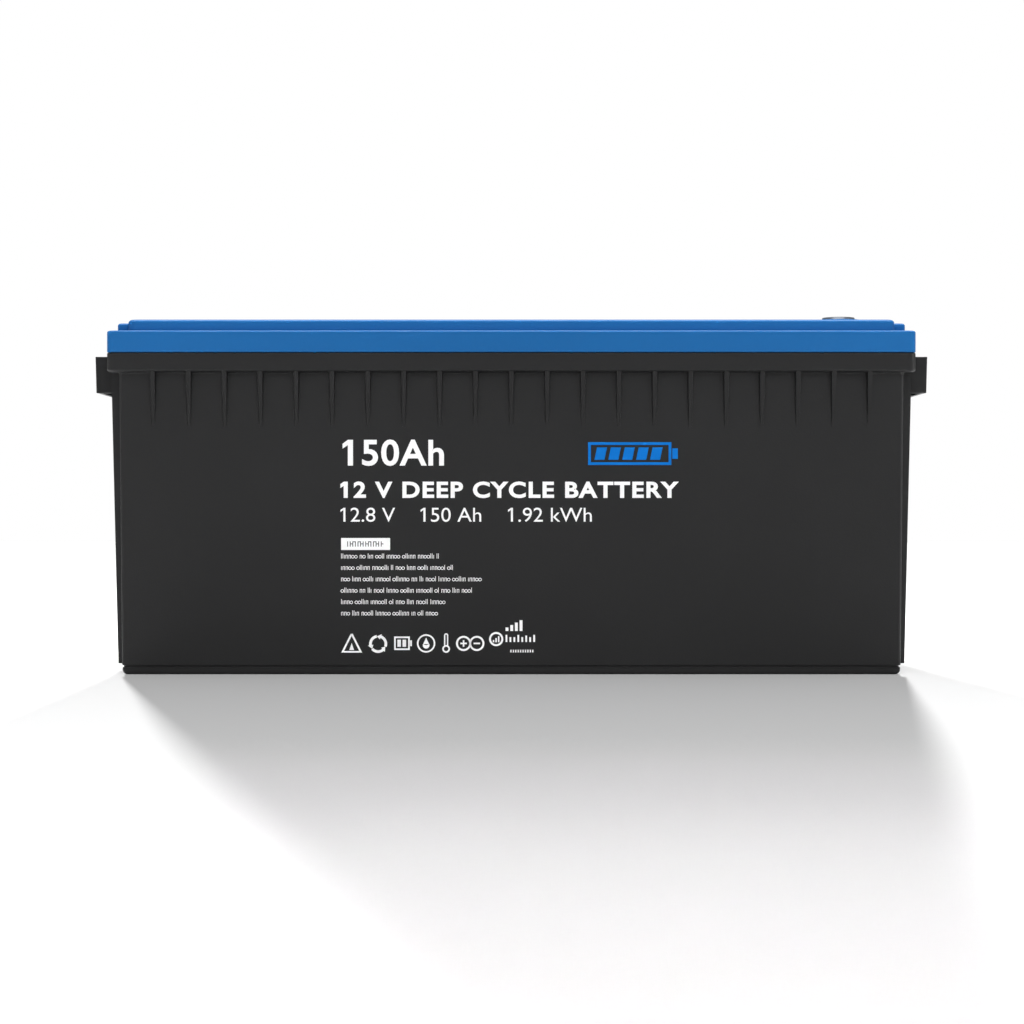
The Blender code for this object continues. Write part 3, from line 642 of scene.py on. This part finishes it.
def end_grips():
    """Ledges on both ends that lean outwards towards their top."""
    bm = bmesh.new()
    for side in (-1, 1):
        levels = []
        for z, reach in zip(GRIP_Z, (GRIP_REACH - GRIP_LEAN, GRIP_REACH)):
            x0, x1 = mirrored(side, GRIP_ROOT, reach)
            y0, y1 = -GRIP_HALF_WIDTH, GRIP_HALF_WIDTH
            levels.append([(x0, y0, z), (x1, y0, z), (x1, y1, z), (x0, y1, z)])
        solid_hull(bm, *levels)
    soften(bm, 0.8, 3)
    return bm


def finger_pockets():
    """Room for the fingers under both ledges."""
    bm = bmesh.new()
    for side in (-1, 1):
        solid_box(bm, *mirrored(side, *POCKET), -POCKET_HALF_WIDTH, POCKET_HALF_WIDTH, *POCKET_Z)
    return bm


def boss_webs():
    """Thin walls that tie the screw bosses to the long sides."""
    bm = bmesh.new()
    for x, y in SCREW_SPOTS:
        solid_box(bm, x - WEB_HALF, x + WEB_HALF, *mirrored(math.copysign(1, y), *WEB_Y), *WEB_Z)
    return bm


def build_case():
    made = piece("case_shell", loft(case_levels()), BLACK_PLASTIC)
    change(made, "UNION", wall_ribs())
    change(made, "UNION", end_ribs())
    change(made, "UNION", end_grips())
    change(made, "DIFFERENCE", finger_pockets())
    change(made, "DIFFERENCE", loft([(CAVITY_FLOOR, *CAVITY_BOTTOM, CAVITY_CORNER),
                                     (COLLAR_TOP + 2.0, *CAVITY_TOP, CAVITY_CORNER)], 6))
    change(made, "UNION", uprights(BOSS_RADIUS, SCREW_SPOTS, CAVITY_FLOOR - 1.0, COLLAR_TOP - 0.4, 32))
    change(made, "UNION", boss_webs())
    change(made, "DIFFERENCE", uprights(PILOT_RADIUS, SCREW_SPOTS, *PILOT_Z, 24))
    change(made, "DIFFERENCE", frame_ring(*GASKET_GROOVE, COLLAR_TOP - GASKET_DEPTH, COLLAR_TOP + 1.0))
    finish_shading(made, SHELL_ANGLE)
    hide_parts("case")


# ---------------------------------------------------------------- lid
def lid_cavity():
    """The hollow under the lid: wide behind the lip, a little narrower under the deck."""
    return loft([(LID_BASE - 5.0, *LIP_INSIDE, INSIDE_CORNER),
                 (BAND_TOP - LID_WALL, *LIP_INSIDE, INSIDE_CORNER),
                 (BAND_TOP - LID_WALL + 0.1, *DECK_INSIDE, INSIDE_CORNER),
                 (DECK_TOP - LID_WALL, *DECK_INSIDE, INSIDE_CORNER)], 6)


def terminal_place(made, at):
    """Raised ring, seat, bore and seal groove of one terminal."""
    ring = [(0.0, RING_TOP), (RING_RADIUS - 0.8, RING_TOP), (RING_RADIUS - 0.3, RING_TOP - 0.15),
            (RING_RADIUS, RING_TOP - 0.6), (RING_RADIUS, RING_BASE), (0.0, RING_BASE)]
    change(made, "UNION", lathe(ring, at, 72))
    flare, wall, top = POST_RADIUS + SEAT_FLARE, POST_RADIUS + SEAT_GAP, RING_TOP + 7.5
    seat = [(0.0, top), (flare, top), (flare, RING_TOP + 0.1), (wall, RING_TOP - 0.5),
            (wall, SEAT_FLOOR), (0.0, SEAT_FLOOR)]
    change(made, "DIFFERENCE", lathe(seat, at, 72))
    change(made, "DIFFERENCE", uprights(POST_BORE, [at], UNDER_DECK, ABOVE_DECK, 64))
    inner, outer, floor = SEAL_GROOVE
    groove = [(outer, DECK_TOP), (outer, floor), (inner, floor), (inner, DECK_TOP)]
    change(made, "DIFFERENCE", lathe(groove, at, 72, closed=True))


def polarity_mark(bm, y, plus):
    """A raised bar, or a raised cross, beside a terminal."""
    x, arm, half = POST_X - MARK_SHIFT, MARK_ARM, MARK_HALF
    flat = [(-arm, -half), (arm, -half), (arm, half), (-arm, half)]
    if plus:
        flat = [(-arm, -half), (-half, -half), (-half, -arm), (half, -arm), (half, -half), (arm, -half),
                (arm, half), (half, half), (half, arm), (-half, arm), (-half, half), (-arm, half)]
    solid_hull(bm, *([(x + a, y + b, z) for a, b in flat]
                     for z in (DECK_TOP - MARK_RISE, DECK_TOP + MARK_RISE)))


def build_lid():
    band = [(LID_BASE, *grown(COLLAR, -0.3), COLLAR_CORNER), (LID_BASE + 0.3, *COLLAR, COLLAR_CORNER)]
    band += round_over(BAND_TOP, COLLAR, COLLAR_CORNER, BAND_ROUND)
    made = piece("lid_shell", loft(band, 12), BLUE_PLASTIC)
    pads = [(BAND_TOP - 1.0, *PAD, PAD_CORNER)] + round_over(PAD_TOP, PAD, PAD_CORNER, PAD_ROUND)
    change(made, "UNION", loft(pads, 8))
    deck = [(BAND_TOP - 1.2, *DECK, DECK_CORNER)]
    deck += round_over(DECK_TOP, DECK, DECK_CORNER, DECK_ROUND, count=7)
    change(made, "UNION", loft(deck, 12))
    change(made, "DIFFERENCE", lid_cavity())
    change(made, "UNION", frame_ring((*LIP, LIP_CORNER), (*LIP_INSIDE, INSIDE_CORNER), LID_LOW.z,
                                     LID_BASE + 1.0, 6))
    change(made, "UNION", uprights(TOWER_RADIUS, SCREW_SPOTS, COLLAR_TOP - 0.1, DECK_TOP - 1.0, 32))
    for side in (-1, 1):
        terminal_place(made, (POST_X, side * POST_Y))
    change(made, "DIFFERENCE", uprights(VALVE_BORE, [middle("valve_body")], UNDER_DECK, ABOVE_DECK, 64))
    change(made, "DIFFERENCE", uprights(SINK_RADIUS, SCREW_SPOTS, SCREW_SEAT, ABOVE_DECK, 40))
    change(made, "DIFFERENCE", uprights(SHAFT_RADIUS, SCREW_SPOTS, SHAFT_FOOT, ABOVE_DECK, 24))
    marks = bmesh.new()
    polarity_mark(marks, -POST_Y, True)
    polarity_mark(marks, POST_Y, False)
    change(made, "UNION", marks)
    finish_shading(made, SHELL_ANGLE)
    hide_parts("lid")


# ---------------------------------------------------------------- turned metal
def build_post(name, y):
    """Round terminal with a threaded blind hole, a rounded rim and a threaded shank."""
    profile = [(0.0, 209.2), (POST_HOLE, 210.5)]
    profile += thread(POST_HOLE, POST_HOLE + 0.55, 211.0, POST_TOP - 2.0, POST_PITCH)
    profile += [(POST_HOLE, POST_TOP - 1.3), (4.1, POST_TOP - 0.3), (4.5, POST_TOP)]
    rim = POST_RADIUS - POST_ROUND
    profile.append((rim, POST_TOP))
    for step in range(1, 5):
        angle = math.pi / 2 * step / 4
        profile.append((rim + POST_ROUND * math.sin(angle),
                        POST_TOP - POST_ROUND + POST_ROUND * math.cos(angle)))
    profile += [(POST_RADIUS, POST_HEAD + 0.2), (POST_RADIUS - 0.2, POST_HEAD), (POST_SHANK, POST_HEAD)]
    profile += thread(POST_SHANK, POST_SHANK - 0.4, 213.0, 198.0, POST_PITCH)
    profile += [(POST_SHANK, 197.0), (POST_SHANK - 0.8, 196.0), (0.0, 196.0)]
    made = piece(name + "_turned", lathe(profile, (POST_X, y), 96), TIN, at=(POST_X, y, 210.0))
    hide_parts(name)


def build_lid_screw(number, x, y):
    """Cylinder-head screw with a hexagon socket."""
    head = SCREW_SEAT + 0.1
    top = head + SCREW_RISE
    profile = [(0.0, top), (3.0, top), (3.5, head + 2.45), (SCREW_HEAD, head + 2.0),
               (SCREW_HEAD, head + 0.15), (3.65, head), (SCREW_SHANK, head)]
    profile += thread(SCREW_SHANK, SCREW_SHANK - 0.4, head - 6.0, 182.5, 1.4)
    profile += [(1.9, 181.0), (0.0, 179.0)]
    made = piece(f"lid_screw_{number}_turned", lathe(profile, (x, y), 48), ZINC, at=(x, y, head))
    change(made, "DIFFERENCE", uprights(SOCKET_RADIUS, [(x, y)], head + 1.0, head + 5.0, 6))
    finish_shading(made)
    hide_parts(f"lid_screw_{number}")


def build_seal(name):
    """O-ring under a terminal head, drawn a little fatter than its slot."""
    low, high = span(name)
    radius = (high.z - low.z) / 2 * 1.02
    reach = (high.x - low.x) / 2 - radius
    ring = []
    for k in range(24):
        angle = k * math.pi / 12
        ring.append((reach + radius * math.cos(angle), (low.z + high.z) / 2 - radius * math.sin(angle)))
    made = piece(name + "_ring", lathe(ring, middle(name), 72, closed=True), RUBBER, smooth=SEAL_ANGLE)
    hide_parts(name)


def build_nut(name, bore):
    """Hexagon nut with chamfered corners and a threaded bore."""
    low, high = span(name)
    at = middle(name)
    reach = max(high.x - low.x, high.y - low.y) / 2
    made = piece(name + "_hex", uprights(reach, [at], low.z, high.z, 6), ZINC)
    flats = reach * math.cos(math.pi / 6)
    tilt = (reach - flats) * 0.6
    cone = [(0.0, high.z + 0.5), (flats - 0.4, high.z), (reach + 0.2, high.z - tilt),
            (reach + 0.2, low.z + tilt), (flats - 0.4, low.z), (0.0, low.z - 0.5)]
    change(made, "INTERSECT", lathe(cone, at, 48))
    hole = [(0.0, high.z + 1.0), (bore + 0.6, high.z + 1.0), (bore + 0.5, high.z - 0.1)]
    hole += thread(bore, bore + 0.35, high.z - 0.7, low.z + 0.8, 1.0, flank=0.4)
    hole += [(bore + 0.5, low.z + 0.1), (bore + 0.6, low.z - 1.0), (0.0, low.z - 1.0)]
    change(made, "DIFFERENCE", lathe(hole, at, 40))
    finish_shading(made)
    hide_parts(name)


# ---------------------------------------------------------------- relief valve
def build_valve_body(at):
    """Screw-in body with a notched flange."""
    low, high = span("valve_body")
    flange = (high.x - low.x) / 2
    body = [(VALVE_HOLLOW, high.z), (flange - 1.0, high.z), (flange - 0.5, high.z - 0.12),
            (flange - 0.15, high.z - 0.4), (flange, high.z - 0.8), (flange, 220.2), (VALVE_SHANK, 220.2)]
    body += thread(VALVE_SHANK, VALVE_SHANK - 0.5, 215.5, low.z + 2.0, 1.4)
    body += [(VALVE_SHANK, low.z + 0.4), (VALVE_SHANK - 0.4, low.z), (STEM_HOLE, low.z),
             (STEM_HOLE, VALVE_FLOOR), (VALVE_HOLLOW, VALVE_FLOOR)]
    made = piece("valve_body_turned", lathe(body, at, 72, closed=True), MOULDED)
    notches = [on_circle(at, flange + 0.35, 2 * math.pi * k / NOTCHES) for k in range(NOTCHES)]
    change(made, "DIFFERENCE", uprights(NOTCH_RADIUS, notches, 219.0, high.z + 1.0, 12))
    finish_shading(made)
    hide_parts("valve_body")


def build_valve_cap(at):
    """Cap with a hole for the stem and four vents."""
    low, high = span("valve_cap")
    cap = [(CAP_HOLE, high.z), (CAP_RADIUS - 0.8, high.z), (CAP_RADIUS - 0.3, high.z - 0.2),
           (CAP_RADIUS, high.z - 0.6), (CAP_RADIUS, low.z), (CAP_HOLE, low.z)]
    made = piece("valve_cap_slotted", lathe(cap, at, 64, closed=True), MOULDED)
    vents = [on_circle(at, VENT_RING, angle) for angle in VENT_ANGLES]
    change(made, "DIFFERENCE", uprights(VENT_RADIUS, vents, 215.0, ABOVE_DECK, 24))
    finish_shading(made)
    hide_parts("valve_cap")


def build_valve_poppet(at):
    """Sealing disc and stem, the piece that lifts."""
    low, high = span("valve_poppet")
    poppet = [(0.0, high.z), (1.0, high.z - 0.05), (1.3, high.z - 0.25), (STEM_RADIUS, high.z - 0.6),
              (STEM_RADIUS, 209.6), (1.7, 209.2), (4.6, 209.1), (4.85, 208.9), (POPPET_RADIUS, 208.6),
              (POPPET_RADIUS, low.z + 0.4), (4.5, low.z), (0.0, low.z)]
    made = piece("valve_poppet_turned", lathe(poppet, at, 48), RUBBER, body="poppet")
    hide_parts("valve_poppet")


def build_spring(at):
    """Coil spring over the poppet's stem, built at its resting length."""
    low, high = span("valve_spring")
    coil = (high.x - low.x) / 2 - SPRING_WIRE
    base, top = low.z + SPRING_WIRE, high.z - SPRING_WIRE
    up = Vector((0.0, 0.0, 1.0))
    bm = bmesh.new()
    rings = []
    steps = SPRING_TURNS * SPRING_STEPS
    for k in range(steps + 1):
        angle = 2 * math.pi * SPRING_TURNS * k / steps
        out = Vector((math.cos(angle), math.sin(angle), 0.0))
        centre = Vector((*at, base + (top - base) * k / steps)) + out * coil
        rings.append([bm.verts.new(centre + SPRING_WIRE * (out * math.cos(a) + up * math.sin(a)))
                      for a in (math.pi / 5 * j for j in range(10))])
    for first, second in zip(rings, rings[1:]):
        bridge(bm, first, second)
    bm.faces.new(rings[0])
    bm.faces.new(rings[-1])
    bmesh.ops.recalc_face_normals(bm, faces=bm.faces)
    made = piece("valve_spring_coil", bm, ZINC)
    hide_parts("valve_spring")
    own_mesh(made)


def build_solids():
    build_case()
    build_lid()
    build_post("terminal_post_front", -POST_Y)
    build_post("terminal_post_rear", POST_Y)
    spots = [(x, side * SCREW_Y) for side in (-1, 1) for x in SCREW_X]
    for number, (x, y) in enumerate(spots, 1):
        build_lid_screw(number, x, y)
    for end in ("front", "rear"):
        build_seal("terminal_seal_" + end)
        build_nut("terminal_nut_" + end, TERMINAL_BORE)
    for number in range(1, CELL_NUTS + 1):
        build_nut(f"cell_nut_{number}", CELL_BORE)
    valve_at = middle("valve_body")
    for build in (build_valve_body, build_valve_cap, build_valve_poppet, build_spring):
        build(valve_at)


# ---------------------------------------------------------------- print on the front wall
def wall_at(z):
    """How far the drafted front wall stands from the middle at height z."""
    share = (z - WALL_FOOT) / (WALL_HEAD - WALL_FOOT)
    return WALL_BOTTOM[1] + (WALL_TOP[1] - WALL_BOTTOM[1]) * share


def printed(name, flat, surface, raised=INK):
    """Lays flat shapes (x, 0, z) on the wall as a thin layer of ink."""
    extruded = bmesh.ops.extrude_face_region(flat, geom=list(flat.faces))
    moved = {v for v in extruded["geom"] if isinstance(v, bmesh.types.BMVert)}
    for vertex in flat.verts:
        layer = raised if vertex in moved else -INK
        vertex.co.y = -wall_at(vertex.co.z) - layer
    bmesh.ops.recalc_face_normals(flat, faces=flat.faces)
    made = piece(name, flat, surface)


def polygon(bm, points):
    bm.faces.new([bm.verts.new((x, 0.0, z)) for x, z in points])


def bar(bm, x0, x1, z0, z1, lean=0.0):
    polygon(bm, ((x0, z0), (x1, z0), (x1 + lean, z1), (x0 + lean, z1)))


def arc(bm, x, z, outer, inner, start=0.0, end=360.0, steps=40):
    """Part of a flat ring, angles in degrees from +X."""
    loop = []
    for step in range(steps + 1):
        angle = math.radians(start + (end - start) * step / steps)
        loop.append([bm.verts.new((x + r * math.cos(angle), 0.0, z + r * math.sin(angle)))
                     for r in (inner, outer)])
    for first, second in zip(loop, loop[1:]):
        bm.faces.new((first[0], first[1], second[1], second[0]))
    bmesh.ops.remove_doubles(bm, verts=[v for pair in loop for v in pair], dist=0.0001)


def frame_lines(bm, x0, x1, z0, z1, line):
    """Outline of a rectangle, mitred at its corners."""
    loops = []
    for inset in (0.0, line):
        left, right, low, high = x0 + inset, x1 - inset, z0 + inset, z1 - inset
        loops.append([bm.verts.new((x, 0.0, z))
                      for x, z in ((left, low), (right, low), (right, high), (left, high))])
    bridge(bm, *loops)


def lettering(name, words, x0, x1, z0, z1, heavy=0.0, spacing=1.0):
    """Words fitted between two sides, baseline z0, capital height up to z1."""
    curve = bpy.data.curves.new(name, "FONT")
    curve.body = words
    curve.offset = heavy
    curve.space_character = spacing
    curve.resolution_u = 5
    carrier = bpy.data.objects.new(name, curve)
    bpy.context.scene.collection.objects.link(carrier)
    mesh = as_mesh(carrier)
    bpy.data.objects.remove(carrier)
    flat = bmesh.new()
    flat.from_mesh(mesh)
    bmesh.ops.remove_doubles(flat, verts=flat.verts, dist=0.0001)
    low = [min(v.co[k] for v in flat.verts) for k in (0, 1)]
    high = [max(v.co[k] for v in flat.verts) for k in (0, 1)]
    for vertex in flat.verts:
        along = (vertex.co.x - low[0]) / (high[0] - low[0])
        up = (vertex.co.y - low[1]) / (high[1] - low[1])
        vertex.co = (x0 + (x1 - x0) * along, 0.0, z0 + (z1 - z0) * up)
    add_flags(flat, z1 - z0, words.count("1"))
    printed(name, flat, WHITE_PRINT)


def islands(bm):
    """The vertices of a flat drawing, one list for each shape that hangs together."""
    pending = set(bm.verts)
    while pending:
        island = [pending.pop()]
        for vertex in island:
            for edge in vertex.link_edges:
                other = edge.other_vert(vertex)
                if other in pending:
                    pending.remove(other)
                    island.append(other)
        yield island


def add_flags(flat, tall, ones):
    """Gives each figure one, which is a bare stem in this typeface, a flag at its top."""
    stems = []
    for island in islands(flat):
        across = [v.co.x for v in island]
        up = [v.co.z for v in island]
        if max(up) - min(up) > tall * 0.8 and max(across) - min(across) < tall * 0.34:
            stems.append((min(across), max(across), max(up)))
    for left, right, top in sorted(stems)[:ones]:
        thick = (right - left) * 0.95
        root, tip, fall = left + 0.02, left - tall * 0.2, top - tall * 0.15
        polygon(flat, ((root, top), (tip, fall), (tip, fall - thick), (root, top - thick * 1.1)))


def greeked(bm, x0, x1, z, tall, seed):
    """A line of unreadable small print: letter-sized strokes in word groups."""
    x = x0
    last = x1 - 0.8
    count = seed
    while x < last:
        count += 1
        for k in range(2 + (count * 7 + seed * 3) % 6):
            if x > last:
                break
            pick = (count * 5 + k * 3 + seed) % 7
            top = tall if pick in (0, 4) else tall * 0.72
            if pick in (1, 5):
                arc(bm, x + 0.7, z + tall * 0.35, tall * 0.35, tall * 0.22, steps=10)
                x += 1.95
            elif pick in (2, 6):
                left, right, roof = x + STROKE, x + 1.05, z + top
                polygon(bm, ((x, z), (left, z), (left, roof - STROKE), (right, roof - STROKE), (right, z),
                             (right + STROKE, z), (right + STROKE, roof), (x, roof)))
                x += 1.9
            else:
                bar(bm, x, x + STROKE, z, z + top)
                x += 0.9
        x += 1.15


def print_words():
    for name, words, x0, x1, z0, z1, heavy, spacing in (
            ("print_capacity", "150Ah", -101.2, -41.7, 129.2, 145.6, 0.02, 1.06),
            ("print_heading", "12 V DEEP CYCLE BATTERY", -103.8, 103.6, 109.3, 119.6, 0.034, 1.13),
            ("print_ratings", "12.8 V    150 Ah    1.92 kWh", -104.0, 49.8, 94.6, 103.4, 0.0, 1.0)):
        lettering(name, words, x0, x1, z0, z1, heavy, spacing)


def print_note():
    """A white box with dark greeked marks, and six greeked lines under it."""
    box = bmesh.new()
    bar(box, -105.4, -75.1, 77.2, 84.6)
    printed("print_note_box", box, WHITE_PRINT)
    marks = bmesh.new()
    for k in range(14):
        left, fall = -101.6 + 1.6 * k, 1.3 * (k % 2)
        bar(marks, left, left + 0.5, 79.3, 82.5)
        if k % 3:
            bar(marks, left + 0.5, left + 1.6, 82.0 - fall, 82.5 - fall)
    printed("print_note_marks", marks, DARK_PRINT, INK * 1.8)
    small = bmesh.new()
    for k, end in enumerate((-42.9, -34.9, -18.2, -23.7, -41.7, -44.2)):
        greeked(small, -105.4, end, 71.9 - 7.06 * k, 3.1, k + 1)
    printed("print_small_lines", small, WHITE_PRINT)


def print_gauge():
    """Battery outline with its pole and five charge bars."""
    gauge = bmesh.new()
    frame_lines(gauge, 47.5, 99.0, 129.8, 143.9, 1.7)
    bar(gauge, 99.6, 103.0, 133.6, 140.1)
    for k in range(5):
        bar(gauge, 51.4 + 8.6 * k, 57.6 + 8.6 * k, 133.0, 140.7, 1.6)
    printed("print_gauge", gauge, BLUE_PRINT)


def draw_tent(flat):
    """Two crossed poles, a ground line and a door."""
    left, ridge, right, half = -105.4, -98.9, -92.4, 0.65
    low, high = 13.6, 25.3
    polygon(flat, ((left, low), (left + 2 * half, low), (ridge + half, high), (ridge - half, high)))
    polygon(flat, ((ridge - half, high), (right - 2 * half, low), (right, low), (ridge + half, high)))
    bar(flat, -103.9, -93.9, low, low + LINE)
    polygon(flat, ((ridge - 1.5, 15.2), (ridge + 1.5, 15.2), (ridge, 19.6)))


def draw_cycle(flat):
    """Three arrows that follow each other round a circle."""
    x, z = -82.5, 19.0
    for k in range(3):
        arc(flat, x, z, 5.6, 3.9, 120 * k + 100, 120 * k + 190, 12)
        tip = math.radians(120 * k + 196)
        polygon(flat, [(x + r * math.cos(tip + a), z + r * math.sin(tip + a))
                       for r, a in ((3.0, -0.12), (6.5, -0.12), (4.75, 0.42))])


def draw_cell(flat):
    """Small battery with its pole and two bars."""
    frame_lines(flat, -72.6, -62.9, 15.2, 23.6, LINE)
    bar(flat, -62.7, -61.6, 17.6, 21.2)
    for x in (-70.6, -67.4):
        bar(flat, x, x + 2.2, 17.2, 21.6)


def draw_drop(flat):
    """A drop in a circle."""
    x = -52.8
    arc(flat, x, 19.3, 5.7, 4.7)
    arc(flat, x, 18.2, 2.1, 0.0, -200, 20, 20)
    polygon(flat, ((x - 1.9, 18.9), (x + 1.9, 18.9), (x, 22.9)))


def draw_thermometer(flat):
    x = -40.4
    arc(flat, x, 15.9, 2.4, 1.4)
    for left in (x - 1.3, x + 0.5):
        bar(flat, left, left + 0.8, 18.0, 24.4)
    arc(flat, x, 24.3, 1.3, 0.5, 0, 180, 12)


def draw_poles(flat):
    """A plus and a minus, each in a circle."""
    plus, minus, z = -29.6, -21.4, 19.3
    for x in (plus, minus):
        arc(flat, x, z, 4.7, 3.5)
        bar(flat, x - 2.0, x + 2.0, z - 0.5, z + 0.5)
    bar(flat, plus - 0.5, plus + 0.5, z + 0.5, z + 2.0)
    bar(flat, plus - 0.5, plus + 0.5, z - 2.0, z - 0.5)


def draw_columns(flat, left, pitch, wide, low, heights):
    """A row of upright bars."""
    for k, tall in enumerate(heights):
        bar(flat, left + pitch * k, left + wide + pitch * k, low, low + tall)


def draw_signal(flat):
    """Bars in a circle, two rows of greeked marks beside it and larger bars above."""
    arc(flat, -9.4, 22.0, 4.4, 3.2)
    draw_columns(flat, -11.5, 1.6, 0.9, 20.0, (1.4, 2.6, 3.8))
    draw_columns(flat, -3.6, 2.45, 1.1, 20.2, (4.4, 3.0, 3.0, 4.4, 3.0, 4.0, 3.0, 4.4))
    draw_columns(flat, -0.6, 1.5, 0.7, 13.7, (1.7,) * 10)
    draw_columns(flat, -3.6, 2.9, 1.8, 27.0, (2.2, 3.7, 5.2, 6.7))


def print_symbols():
    """Plain pictures in a row."""
    flat = bmesh.new()
    for draw in (draw_tent, draw_cycle, draw_cell, draw_drop, draw_thermometer, draw_poles, draw_signal):
        draw(flat)
    printed("print_symbols", flat, WHITE_PRINT)


# ---------------------------------------------------------------- looks of the nodes kept from the CAD
# The first entry that a node's name starts with counts, so the order matters.
CARRIED = {
    "lid_gasket": RUBBER, "terminal_seal": RUBBER, "valve_poppet": RUBBER, "terminal_nut": ZINC,
    "cell_nut": ZINC, "bms_screw": ZINC, "valve_spring": ZINC, "strap": STRAP_STEEL, "cell_": CELL_FILM,
    "busbar": COPPER, "end_plate": ALLOY, "bms_heatsink": ALLOY, "bms_board": BOARD,
    "wireless_module": BOARD, "bms_mosfets": MOULDED, "valve_body": MOULDED, "valve_cap": MOULDED,
    "cable_positive": SLEEVE_RED, "cable_": SLEEVE_BLACK, "balance_harness": SLEEVE_WHITE,
    "wireless_lead": SLEEVE_WHITE, "separator": CARD, "foam": FOAM, "floor_pad": FOAM,
}


def dress_carried():
    for name, made in frame["nodes"].items():
        surface = next((look for start, look in CARRIED.items() if name.startswith(start)), None)
        if surface is None:
            continue
        made.data.materials.clear()
        made.data.materials.append(surface)


# ---------------------------------------------------------------- studio
def aim(lamp, only):
    """Keeps a lamp to the listed pieces."""
    if only:
        lit = bpy.data.collections.new("lit_by_" + lamp.name)
        for made in only:
            lit.objects.link(made)
        lamp.light_linking.receiver_collection = lit


def area(name, at, target, size, power, diffuse=True, gloss=True, beam=180.0, only=()):
    """Rectangular softbox; beam narrows it like a honeycomb grid, only lists the pieces it lights."""
    light = bpy.data.lights.new(name, "AREA")
    light.shape = "RECTANGLE"
    light.size, light.size_y = size
    light.energy = power
    light.spread = math.radians(beam)
    made = bpy.data.objects.new(name, light)
    made.location = at
    made.rotation_euler = (Vector(target) - Vector(at)).to_track_quat("-Z", "Y").to_euler()
    made.visible_camera = False
    made.visible_diffuse = diffuse
    made.visible_glossy = gloss
    bpy.context.scene.collection.objects.link(made)
    aim(made, only)


def side_sun(name, swing, backdrop):
    """Low hard light from behind that draws one side edge of the shadow."""
    sun = bpy.data.lights.new(name, "SUN")
    sun.angle = math.radians(SIDE_SUN_ANGLE)
    sun.energy = SIDE_SUN_POWER
    lamp = bpy.data.objects.new(name, sun)
    lift, turn = math.radians(SIDE_SUN_LIFT), math.radians(swing)
    travel = Vector((math.sin(turn) * math.cos(lift), -math.cos(turn) * math.cos(lift), -math.sin(lift)))
    lamp.rotation_euler = travel.to_track_quat("-Z", "Y").to_euler()
    bpy.context.scene.collection.objects.link(lamp)
    aim(lamp, (backdrop,))


def light_backdrop(backdrop):
    side_sun("back_left_sun", 13.4, backdrop)
    side_sun("back_right_sun", -8.0, backdrop)
    area("back_tall_strip", (-0.19, 4.0, 1.5), (0.02, -0.65, 0.0), (0.3, 1.9), TALL_STRIP_POWER,
         beam=STRIP_BEAM, only=(backdrop,))
    area("back_low_strip", (-0.19, 4.0, 1.1), (0.03, -0.8, 0.0), (0.3, 1.1), LOW_STRIP_POWER,
         beam=STRIP_BEAM, only=(backdrop,))


def light_battery():
    case, lid = bpy.data.objects["case_shell"], bpy.data.objects["lid_shell"]
    front = [case] + [made for made in bpy.data.objects if made.name.startswith("print_")]
    turned = [made for made in bpy.data.objects if made.name.endswith("_turned")]
    area("front_fill", (0.35, -1.8, 1.7), (0.0, 0.0, 0.12), (2.2, 1.2), FILL_POWER, gloss=False)
    area("front_kicker", (0.0, -2.4, 0.5), (0.0, -0.115, -0.03), (0.4, 0.3), KICK_POWER, gloss=False,
         beam=KICK_BEAM, only=front)
    area("top_softbox", (0.0, 0.1, 2.2), (0.0, 0.0, 0.2), (3.0, 0.9), TOP_POWER, only=(lid,))
    for name, side, power in (("right_softbox", 1, RIGHT_POWER), ("left_softbox", -1, LEFT_POWER)):
        area(name, (side * 2.2, -0.3, 0.5), (side * 0.2, 0.0, 0.12), (1.0, 1.4), power, diffuse=False,
             only=(case,))
    area("metal_glint", (0.0, -1.5, 0.4), (0.2, -0.08, 0.22), (2.6, 0.7), GLINT_POWER, diffuse=False,
         only=turned)
    area("metal_sky", (0.0, 0.3, 2.0), (0.0, 0.0, 0.2), (2.4, 1.6), SKY_POWER, diffuse=False, only=turned)


def build_world():
    """Pure white to the camera, a weak even light to everything else."""
    world = bpy.data.worlds.new("studio")
    bpy.context.scene.world = world
    world.use_nodes = True
    tree = world.node_tree
    tree.nodes.clear()
    seen = node(tree, "ShaderNodeLightPath")
    mixed = node(tree, "ShaderNodeMixShader")
    out = node(tree, "ShaderNodeOutputWorld")
    tree.links.new(seen.outputs["Is Camera Ray"], mixed.inputs["Fac"])
    for socket, strength in ((1, WORLD_POWER), (2, 1.0)):
        white = node(tree, "ShaderNodeBackground", Color=(1.0, 1.0, 1.0, 1.0), Strength=strength)
        tree.links.new(white.outputs["Background"], mixed.inputs[socket])
    tree.links.new(mixed.outputs["Shader"], out.inputs["Surface"])


def studio_paper():
    made, _, shader = material("studio_paper")
    shader.inputs["Base Color"].default_value = (0.8, 0.8, 0.8, 1.0)
    shader.inputs["Roughness"].default_value = 0.95
    shader.inputs["Specular IOR Level"].default_value = 0.0
    return made


def build_backdrop():
    floor = bmesh.new()
    bmesh.ops.create_grid(floor, x_segments=1, y_segments=1, size=FLOOR_HALF)
    backdrop = piece("studio_floor", floor, studio_paper(), body=None)
    return backdrop


def build_camera():
    """Level camera in front of the long side."""
    camera = bpy.data.cameras.new("camera")
    camera.lens = LENS
    camera.sensor_width = SENSOR
    camera.clip_end = 50.0
    made = bpy.data.objects.new("camera", camera)
    made.location = EYE * MM
    made.rotation_euler = (math.radians(90.0), 0.0, 0.0)
    bpy.context.scene.collection.objects.link(made)
    bpy.context.scene.camera = made


build_solids()
print_words()
print_note()
print_gauge()
print_symbols()
dress_carried()
light_backdrop(build_backdrop())
light_battery()
build_world()
build_camera()
bpy.context.scene.view_settings.view_transform = "Standard"
bpy.context.scene.view_settings.look = "None"
